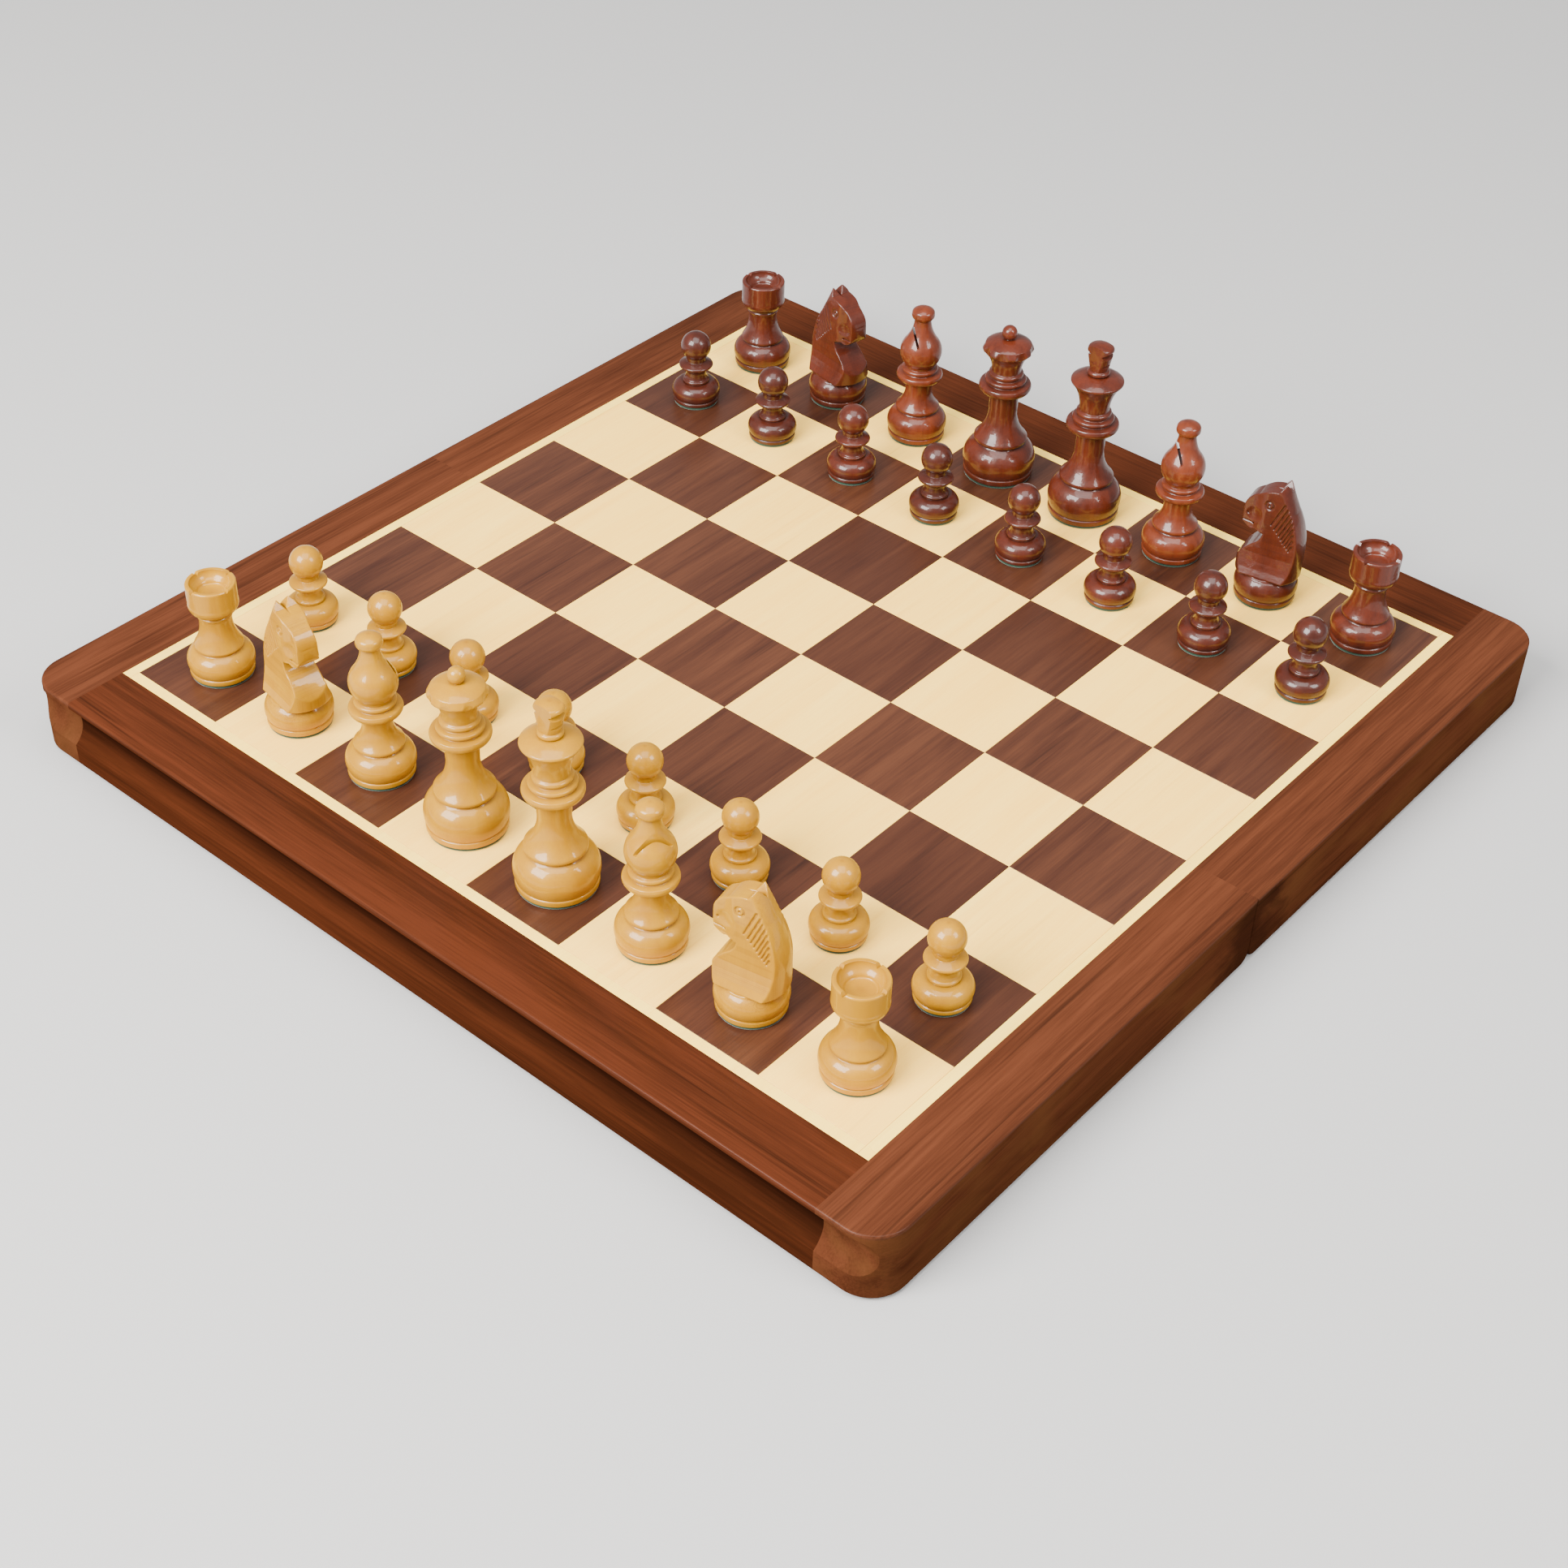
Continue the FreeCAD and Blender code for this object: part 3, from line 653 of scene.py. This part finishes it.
def felt_pad(node, radius, place):
    """The green felt under a man, with a soft edge."""
    r = radius - FELT_INSET
    steps = [(r - 0.2, 0.0), (r, MAN_FELT / 2, r - 0.1, MAN_FELT), (0.0, MAN_FELT)]
    points = softened(outline((0.0, 0.0), steps), 0.1)
    pad = lathe(f"{node}_felt", points, segments=64)
    pad.data.transform(Matrix.Translation(place))
    pad.data.materials.append(GREEN_FELT)
    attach(pad, node)


def back_row(army, rank):
    """Names, makers and foot radii of the officers, from the a-file to the h-file."""
    first, second = SLITS[army]
    scallop = 0.55 if army == "white" else 0.95

    def carved(heading):
        def make(name):
            verts, faces, crease = KNIGHT
            body = mesh_object(name, verts, faces.tolist(), crease, angle=50.0)
            body.data.transform(turn_z(heading))
            return body
        return make

    return [
        ("rook", rook, ROOK_R),
        ("knight", carved(-KNIGHT_TURN), KNIGHT_R),
        ("bishop", lambda name: bishop(name, *first), BISHOP_R),
        ("queen", lambda name: queen(name, scallop), ROYAL_R),
        ("king", king, ROYAL_R),
        ("bishop", lambda name: bishop(name, *second), BISHOP_R),
        ("knight", carved(180.0 + KNIGHT_TURN), KNIGHT_R),
        ("rook", rook, ROOK_R),
    ]


def set_out(army, officer_rank, pawn_rank):
    for index, (kind, make, radius) in enumerate(back_row(army, officer_rank)):
        node = f"{army}_{kind}_{FILES[index]}{officer_rank}"
        place = square_centre(index, officer_rank)
        place_man(make(f"{node}_body"), node, army, place)
        felt_pad(node, radius, place)
    for index in range(COUNT):
        node = f"{army}_pawn_{FILES[index]}{pawn_rank}"
        place = square_centre(index, pawn_rank)
        place_man(pawn(f"{node}_body"), node, army, place)
        felt_pad(node, PAWN_R, place)


# ================================================================ veneers
def tile(x0, x1, y0, y1, joint=0.045, chamfer=0.05):
    """Verts and faces of one veneer tile in millimetres: a fine joint, and eased top edges."""
    z0 = (TOP - VENEER) / MM
    z1 = TOP / MM
    ring = []
    for inset, z in ((joint, z0), (joint, z1 - chamfer), (joint + chamfer, z1)):
        ring += [(x0 + inset, y0 + inset, z), (x1 - inset, y0 + inset, z),
                 (x1 - inset, y1 - inset, z), (x0 + inset, y1 - inset, z)]
    faces = [(3, 2, 1, 0), (8, 9, 10, 11)]
    for low in (0, 4):
        for k in range(4):
            n = (k + 1) % 4
            faces.append((low + k, low + n, low + 4 + n, low + 4 + k))
    return ring, faces


def tiles(name, node, body, spans, material):
    verts, faces = [], []
    for span in spans:
        more, sides = tile(*span)
        faces += [tuple(len(verts) + i for i in side) for side in sides]
        verts += more
    piece = mesh_object(name, verts, faces, angle=20.0)
    piece.data.materials.append(material)
    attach(piece, body)
    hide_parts(node)


def veneers():
    side = SQUARE / MM
    inner = STRIP_HIGH.x / MM
    field = COUNT / 2 * side
    for half, first in (("white", 0), ("black", COUNT // 2)):
        for name, parity, slot in (("light", 1, "light_veneer"), ("dark", 0, "dark_veneer")):
            spans = []
            for column in range(COUNT):
                for row in range(first, first + COUNT // 2):
                    if (column + row) % 2 == parity:
                        x = (column - COUNT / 2) * side
                        y = (row - COUNT / 2) * side
                        spans.append((x, x + side, y, y + side))
            node = f"{half}_{name}_squares"
            tiles(f"{node}_veneer", node, f"{half}_half", spans, VENEERS[name])
        ends = (-inner, 0.0) if half == "white" else (0.0, inner)
        across = (-inner, -field) if half == "white" else (field, inner)
        spans = [(-field, field, *across), (-inner, -field, *ends), (field, inner, *ends)]
        node = f"{half}_inlay_strips"
        tiles(f"{node}_veneer", node, f"{half}_half", spans, VENEERS["inlay"])


# ================================================================ materials
class Tree:
    """A material's node tree with short calls for adding linked nodes."""

    def __init__(self, name):
        self.material = bpy.data.materials.new(name)
        self.material.use_nodes = True
        self.tree = self.material.node_tree
        self.shader = self.tree.nodes["Principled BSDF"]
        self.place = self.add("ShaderNodeTexCoord").outputs["Object"]

    def add(self, kind, inputs=None, **settings):
        node = self.tree.nodes.new(kind)
        for key, value in settings.items():
            setattr(node, key, value)
        for key, value in (inputs or {}).items():
            self.feed(node.inputs[key], value)
        return node

    def feed(self, socket, value):
        if isinstance(value, bpy.types.NodeSocket):
            self.tree.links.new(value, socket)
        else:
            socket.default_value = value

    def set(self, **inputs):
        """Values or links for the shader, with _ for a space."""
        for key, value in inputs.items():
            self.feed(self.shader.inputs[key.replace("_", " ")], value)

    def math(self, operation, a, b=0.0, clamp=False):
        node = self.add("ShaderNodeMath", {0: a, 1: b}, operation=operation, use_clamp=clamp)
        return node.outputs[0]

    def stretch(self, scale, offset=(0.0, 0.0, 0.0), vector=None):
        """Coordinates times a scale per metre, moved by an offset."""
        node = self.add("ShaderNodeMapping", {
            "Vector": self.place if vector is None else vector,
            "Location": offset,
            "Scale": scale,
        })
        return node.outputs[0]

    def noise(self, vector, detail=3.0, rough=0.55, distort=0.0, scale=1.0):
        node = self.add("ShaderNodeTexNoise", {
            "Vector": vector, "Scale": scale, "Detail": detail,
            "Roughness": rough, "Distortion": distort,
        })
        return node.outputs["Fac"]

    def span(self, value, low, high, to_low=0.0, to_high=1.0):
        """Maps a range to another, held at its ends."""
        node = self.add("ShaderNodeMapRange", {
            "Value": value, "From Min": low, "From Max": high,
            "To Min": to_low, "To Max": to_high,
        })
        return node.outputs[0]

    def mix(self, share, a, b, blend="MIX"):
        node = self.add("ShaderNodeMix", data_type="RGBA", blend_type=blend)
        self.feed(node.inputs[0], share)
        self.feed(node.inputs[6], a)
        self.feed(node.inputs[7], b)
        return node.outputs[2]

    def bump(self, height, strength, distance):
        node = self.add("ShaderNodeBump", {
            "Height": height, "Strength": strength, "Distance": distance})
        return node.outputs[0]

    def cell_random(self, pitch, seed):
        """A random colour that is the same all over one cell of a square grid."""
        scaled = self.add("ShaderNodeVectorMath", {0: self.place, 1: (1 / pitch,) * 3},
                          operation="MULTIPLY").outputs[0]
        moved = self.add("ShaderNodeVectorMath", {0: scaled, 1: (seed, seed, 0.0)},
                         operation="ADD").outputs[0]
        flat = self.add("ShaderNodeVectorMath", {0: moved, 1: (1.0, 1.0, 0.0)},
                        operation="MULTIPLY").outputs[0]
        whole = self.add("ShaderNodeVectorMath", {0: flat}, operation="FLOOR").outputs[0]
        return self.add("ShaderNodeTexWhiteNoise", {"Vector": whole})


def rgb(red, green, blue):
    """Linear colour from the 0 to 255 values a screen shows."""
    return tuple(((v / 255 + 0.055) / 1.055) ** 2.4 if v > 10 else v / 255 / 12.92
                 for v in (red, green, blue)) + (1.0,)


def man_wood(name, light, dark, groove, tone, gloss_bump):
    """Lacquered turned wood, grain upright, and painted shade that darkens the creases and hollows.
    """
    t = Tree(name)
    cell = t.cell_random(SQUARE, 0.0)
    own = t.add("ShaderNodeVectorMath", {0: cell.outputs["Color"], 1: (0.4, 0.4, 0.4)},
                operation="MULTIPLY").outputs[0]
    shifted = t.add("ShaderNodeVectorMath", {0: t.place, 1: own}, operation="ADD").outputs[0]
    fibre = t.noise(t.stretch((1400, 1400, 60), vector=shifted), 4.0, 0.6)
    figure = t.noise(t.stretch((160, 160, 22), vector=shifted), 3.0, 0.5, 0.6)
    share = t.math("ADD", t.math("MULTIPLY", figure, 0.75), t.math("MULTIPLY", fibre, 0.35))
    colour = t.mix(t.span(share, 0.35, 0.75), light, dark)
    colour = t.mix(t.math("MULTIPLY", cell.outputs["Value"], tone), colour, dark)
    crease = t.add("ShaderNodeAttribute", attribute_name="crease").outputs["Fac"]
    # painted shade: the crease value darkens the wood in creases and hollows
    colour = t.mix(t.span(crease, 0.05, 0.9, 0.0, 0.75), colour, groove)
    uneven = t.noise(t.stretch((420, 420, 420), vector=shifted), 2.0)
    relief = t.math("ADD", t.math("MULTIPLY", fibre, 0.35), uneven)
    t.set(Base_Color=colour, Roughness=t.span(uneven, 0.3, 0.7, 0.30, 0.42), Coat_Weight=0.38,
          Coat_Roughness=0.05, Specular_IOR_Level=0.2,
          Normal=t.bump(relief, 0.35, gloss_bump * MM),
          Coat_Normal=t.bump(uneven, 0.25, gloss_bump * MM))
    return t.material


def veneer(name, light, dark, line, tone, grain):
    """Satin veneer squares: grain along Y, every square its own tone and cut."""
    t = Tree(name)
    cell = t.cell_random(SQUARE, 0.0)
    own = t.add("ShaderNodeVectorMath", {0: cell.outputs["Color"], 1: (0.7, 0.7, 0.7)},
                operation="MULTIPLY").outputs[0]
    shifted = t.add("ShaderNodeVectorMath", {0: t.place, 1: own}, operation="ADD").outputs[0]
    fibre = t.noise(t.stretch((1700, 55, 900), vector=shifted), 4.0, 0.6)
    bands = t.noise(t.stretch((150, 9, 80), vector=shifted), 4.0, 0.55, 0.8)
    share = t.math("ADD", t.math("MULTIPLY", bands, 0.7), t.math("MULTIPLY", fibre, 0.4))
    colour = t.mix(t.span(share, 0.4, 0.72), light, dark)
    colour = t.mix(t.math("MULTIPLY", cell.outputs["Value"], tone), colour, dark)
    streak = t.span(t.noise(t.stretch((420, 16, 300), vector=shifted), 3.0), 0.62, 0.74)
    colour = t.mix(t.math("MULTIPLY", streak, grain), colour, line)
    t.set(Base_Color=colour, Roughness=t.span(fibre, 0.3, 0.7, 0.34, 0.44), Coat_Weight=0.12,
          Coat_Roughness=0.22, Specular_IOR_Level=0.25, Normal=t.bump(fibre, 0.25, 0.03 * MM))
    return t.material


def solid_wood(name, along, light, dark, line, seed=0.0, stain_and_shade=None):
    """Frame wood sawn from the solid, so that its ends show end grain.

    An optional function gives staining, figure and painted shade to the colour, and where the outer
    faces are: they have no gloss.
    """
    t = Tree(name)

    def scales(across, down):
        return tuple(down if axis == along else across for axis in range(3))

    drift = (seed, seed * 0.7, seed * 0.3)
    warp = t.noise(t.stretch(scales(22.0, 4.0), drift), 2.0)
    rings = t.noise(t.stretch(scales(150.0, 5.5), drift), 3.0, 0.5, 1.1)
    broad = t.noise(t.stretch(scales(42.0, 3.0), drift), 2.0, 0.5, 0.7)
    fibre = t.noise(t.stretch(scales(1500.0, 45.0), drift), 4.0, 0.6)
    share = t.math("ADD", t.math("MULTIPLY", rings, 0.5), t.math("MULTIPLY", broad, 0.5))
    share = t.math("ADD", share, t.math("MULTIPLY", t.math("SUBTRACT", fibre, 0.5), 0.5))
    colour = t.mix(t.span(share, 0.36, 0.66), light, dark)
    streak = t.span(t.noise(t.stretch(scales(310.0, 7.0), drift), 3.0, 0.5, 0.8), 0.60, 0.72)
    colour = t.mix(t.math("MULTIPLY", streak, t.span(warp, 0.4, 0.7, 0.2, 0.75)), colour, line)
    gloss = FRAME_GLOSS
    if stain_and_shade is not None:
        # the colour gets staining, figure and painted shade on the outer faces
        colour, outer = stain_and_shade(t, colour)
        gloss = t.span(outer, 0.0, 1.0, FRAME_GLOSS, 0.0)
    t.set(Base_Color=colour, Roughness=t.span(fibre, 0.3, 0.7, 0.36, 0.50), Coat_Weight=gloss,
          Coat_Roughness=0.25, Specular_IOR_Level=0.0, Normal=t.bump(fibre, 0.30, 0.05 * MM))
    return t.material


def outer_face(t):
    """How far a point is on the frame's outer faces, its coordinates, and its depth behind them."""
    split = t.add("ShaderNodeSeparateXYZ", {0: t.place})
    squares = []
    for axis in ("X", "Y"):
        past = t.math("SUBTRACT", t.math("ABSOLUTE", split.outputs[axis]), BOARD_OUT - CORNER)
        past = t.math("MAXIMUM", past, 0.0)
        squares.append(t.math("MULTIPLY", past, past))
    depth = t.math("SUBTRACT", CORNER, t.math("SQRT", t.math("ADD", *squares)))
    near = t.span(depth, GROOVE_DEPTH + 0.6 * MM, GROOVE_DEPTH + 1.6 * MM, 1.0, 0.0)
    below_top = t.span(split.outputs["Z"], TOP - 1.4 * MM, TOP - 0.4 * MM, 1.0, 0.0)
    return t.math("MULTIPLY", near, below_top), split, depth


def grooved(t, colour):
    """Painted shade: the outer face darker, and nearly black in the upper part of the finger
    groove.
    """
    outer, split, depth = outer_face(t)
    # painted shade: the outer face darkened
    colour = t.mix(t.math("MULTIPLY", outer, 0.30), colour, rgb(30, 12, 4))
    # painted shade, nearly black, in the upper part of the finger groove
    sunk = t.span(depth, 0.4 * MM, 1.2 * MM)
    upper = t.span(split.outputs["Z"], GROOVE_Z - 6.0 * MM, GROOVE_Z + 2.0 * MM)
    share = t.math("MULTIPLY", t.math("MULTIPLY", sunk, upper), outer)
    return t.mix(t.math("MULTIPLY", share, 0.85), colour, rgb(14, 5, 3)), outer


def seam_figure_and_shade(t, colour):
    """Pale sapwood in the side rails' outer faces, painted shade that darkens those faces, and dark
    figure next to the fold.
    """
    outer, split = outer_face(t)[:2]
    # painted shade: the outer faces darkened
    colour = t.mix(t.math("MULTIPLY", outer, 0.25), colour, rgb(40, 20, 6))
    from_fold = t.math("ABSOLUTE", split.outputs["Y"])
    drift = t.noise(t.stretch((90, 50, 120)), 3.0, 0.6, 0.8)
    ragged = t.math("ADD", from_fold, t.math("MULTIPLY", drift, 0.05))
    dark = t.math("MULTIPLY", t.span(ragged, 0.030, 0.046, 0.6, 0.0), outer)
    pale = t.noise(t.stretch((60, 26, 70), (5.0, 2.0, 1.0)), 3.0, 0.5, 0.6)
    pale = t.math("MULTIPLY", t.span(pale, 0.42, 0.64), 0.5)
    colour = t.mix(t.math("MULTIPLY", pale, outer), colour, rgb(80, 49, 27))
    return t.mix(dark, colour, rgb(22, 9, 6)), outer


def felt(name, colour, deep):
    t = Tree(name)
    fluff = t.noise(t.stretch((2600,) * 3), 5.0, 0.7)
    patch = t.noise(t.stretch((120,) * 3), 3.0)
    mixed = t.mix(t.span(fluff, 0.3, 0.7), deep, colour)
    mixed = t.mix(t.span(patch, 0.35, 0.7, 0.0, 0.3), mixed, deep)
    t.set(Base_Color=mixed, Roughness=0.95, Sheen_Weight=0.4, Sheen_Roughness=0.5,
          Normal=t.bump(fluff, 0.6, 0.25 * MM))
    return t.material


def metal(name, colour, dull, rough_low, rough_high, brushed):
    """Metal with fine scratches along one axis and a duller film in patches."""
    t = Tree(name)
    scales = tuple(90.0 if axis == brushed else 2400.0 for axis in range(3))
    scratch = t.noise(t.stretch(scales), 3.0)
    film = t.noise(t.stretch((210,) * 3), 4.0)
    t.set(Base_Color=t.mix(t.span(film, 0.4, 0.7, 0.0, 0.6), colour, dull), Metallic=1.0,
          Roughness=t.span(scratch, 0.3, 0.7, rough_low, rough_high),
          Normal=t.bump(scratch, 0.2, 0.02 * MM))
    return t.material


def plywood(name):
    t = Tree(name)
    fibre = t.noise(t.stretch((900, 30, 900)), 4.0, 0.6)
    split = t.add("ShaderNodeSeparateXYZ", {0: t.place})
    ply = t.math("SINE", t.math("MULTIPLY", split.outputs["Z"], math.tau / (1.3 * MM)))
    colour = t.mix(t.span(fibre, 0.3, 0.7), rgb(205, 170, 125), rgb(170, 130, 88))
    colour = t.mix(t.span(ply, -0.3, 0.3, 0.0, 0.25), colour, rgb(120, 84, 54))
    t.set(Base_Color=colour, Roughness=t.span(fibre, 0.3, 0.7, 0.55, 0.7),
          Normal=t.bump(fibre, 0.3, 0.05 * MM))
    return t.material


def dress(material, *nodes):
    """Gives CAD nodes that stay a better material."""
    for node in nodes:
        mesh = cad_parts[node].data
        mesh.materials.clear()
        mesh.materials.append(material)


# the third colour of each wood is the painted shade in its creases
MEN_WOOD = {
    ("white", "plain"): man_wood("boxwood_lacquered", rgb(170, 121, 1), rgb(157, 107, 1),
                                 rgb(108, 62, 1), 0.35, 0.12),
    ("black", "plain"): man_wood("dark_wood_lacquered", rgb(88, 35, 18), rgb(58, 21, 11),
                                 rgb(34, 11, 6), 0.45, 0.30),
    ("black", "bishop"): man_wood("dark_wood_reddish", rgb(108, 47, 23), rgb(78, 31, 15),
                                  rgb(46, 15, 7), 0.35, 0.30),
    ("black", "pawn"): man_wood("dark_wood_deep", rgb(80, 31, 17), rgb(48, 18, 10),
                                rgb(28, 10, 6), 0.60, 0.30),
}
GREEN_FELT = felt("felt_green", rgb(18, 66, 42), rgb(8, 40, 25))
VENEERS = {
    "light": veneer("veneer_light", rgb(254, 208, 96), rgb(248, 193, 78), rgb(216, 156, 52),
                    0.25, 0.25),
    "dark": veneer("veneer_dark", rgb(77, 44, 27), rgb(51, 25, 15), rgb(33, 15, 8), 0.55, 0.55),
    "inlay": veneer("veneer_inlay", rgb(254, 216, 98), rgb(247, 202, 82), rgb(222, 168, 60),
                    0.15, 0.2),
}
# the front rail's tones are darker and redder, the side rails' lighter and greyer: a painted sheen
# on the side rails, which the spine and dividers share
FRONT_TONES = (rgb(72, 35, 19), rgb(49, 23, 11), rgb(29, 13, 6))
SIDE_TONES_SHEEN = (rgb(82, 45, 28), rgb(57, 29, 17), rgb(35, 18, 10))
FRAME_GLOSS = 0.12


def board_surfaces():
    for half, seed in (("white", 0.0), ("black", 3.7)):
        front = solid_wood(f"{half}_front_wood", 0, *FRONT_TONES, seed=seed + 0.4, stain_and_shade=grooved)
        sides = solid_wood(f"{half}_side_wood", 1, *SIDE_TONES_SHEEN, seed=seed + 1.3, stain_and_shade=seam_figure_and_shade)
        inside = solid_wood(f"{half}_inner_wood", 0, *SIDE_TONES_SHEEN, seed=seed + 2.1)
        dress(front, f"{half}_front_rail")
        dress(sides, f"{half}_side_rails")
        dress(inside, f"{half}_spine_rail", f"{half}_divider_strips")
    ply = plywood("plywood_core")
    steel = metal("steel_rolled", rgb(196, 198, 200), rgb(150, 152, 156), 0.25, 0.4, 0)
    brass = metal("brass_brushed", rgb(222, 184, 108), rgb(176, 136, 70), 0.22, 0.38, 0)
    screw = metal("brass_screw", rgb(214, 172, 96), rgb(150, 112, 60), 0.25, 0.45, 1)
    nickel = metal("nickel_plate", rgb(214, 212, 206), rgb(168, 166, 160), 0.12, 0.25, 0)
    for half in ("white", "black"):
        dress(ply, f"{half}_core_panel")
        dress(steel, f"{half}_steel_sheet")
        dress(GREEN_FELT, f"{half}_felt_lining")
        dress(brass, f"{half}_hinge_leaves")
        dress(screw, f"{half}_hinge_screws")
        dress(nickel, f"{half}_closure_magnets")
    dress(brass, "hinge_pins")


# ================================================================ camera, light and floor
def camera():
    data = bpy.data.cameras.new("camera")
    data.lens = CAMERA_LENS
    data.sensor_width = 36.0
    data.clip_start = 0.01
    cam = bpy.data.objects.new("camera", data)
    turn = (Matrix.Rotation(math.radians(CAMERA_HEADING), 4, "Z")
            @ Matrix.Rotation(math.radians(CAMERA_TILT), 4, "X")
            @ Matrix.Rotation(math.radians(CAMERA_ROLL), 4, "Z"))
    cam.matrix_world = Matrix.Translation(CAMERA_AT) @ turn
    bpy.context.scene.collection.objects.link(cam)
    bpy.context.scene.camera = cam


def softbox(name, azimuth, elevation, distance, size, watts, colour):
    """A square area light that looks at the board from a direction given in degrees."""
    data = bpy.data.lights.new(name, "AREA")
    data.shape = "RECTANGLE"
    data.size, data.size_y = size
    data.energy = watts
    data.color = colour
    lamp = bpy.data.objects.new(name, data)
    a, e = math.radians(azimuth), math.radians(elevation)
    way = Vector((math.cos(a) * math.cos(e), math.sin(a) * math.cos(e), math.sin(e)))
    lamp.location = way * distance
    lamp.rotation_mode = "QUATERNION"
    lamp.rotation_quaternion = way.to_track_quat("Z", "Y")
    bpy.context.scene.collection.objects.link(lamp)


def studio():
    softbox("softbox_left", -100.0, 40.0, 1.7, (1.0, 0.9), 100.0, (1.0, 0.98, 0.95))
    softbox("softbox_right", 8.0, 40.0, 1.7, (0.6, 0.7), 26.0, (1.0, 0.99, 0.97))
    softbox("overhead", -52.0, 74.0, 2.2, (1.6, 1.6), 61.0, (1.0, 0.99, 0.98))
    world = bpy.data.worlds.new("studio")
    world.use_nodes = True
    world.node_tree.nodes["Background"].inputs[0].default_value = (0.90, 0.92, 0.95, 1.0)
    world.node_tree.nodes["Background"].inputs[1].default_value = 0.62
    bpy.context.scene.world = world


def floor():
    half = 6.0
    mesh = bpy.data.meshes.new("floor")
    mesh.from_pydata([(-half, -half, 0), (half, -half, 0), (half, half, 0), (-half, half, 0)],
                     [], [(0, 1, 2, 3)])
    thing = bpy.data.objects.new("floor", mesh)
    bpy.context.scene.collection.objects.link(thing)
    t = Tree("floor_paper")
    t.set(Base_Color=(0.40, 0.395, 0.39, 1.0), Roughness=0.8)
    mesh.materials.append(t.material)


camera()
studio()
floor()
board_surfaces()
veneers()
KNIGHT = knight_mesh()
set_out("white", 1, 2)
set_out("black", 8, 7)
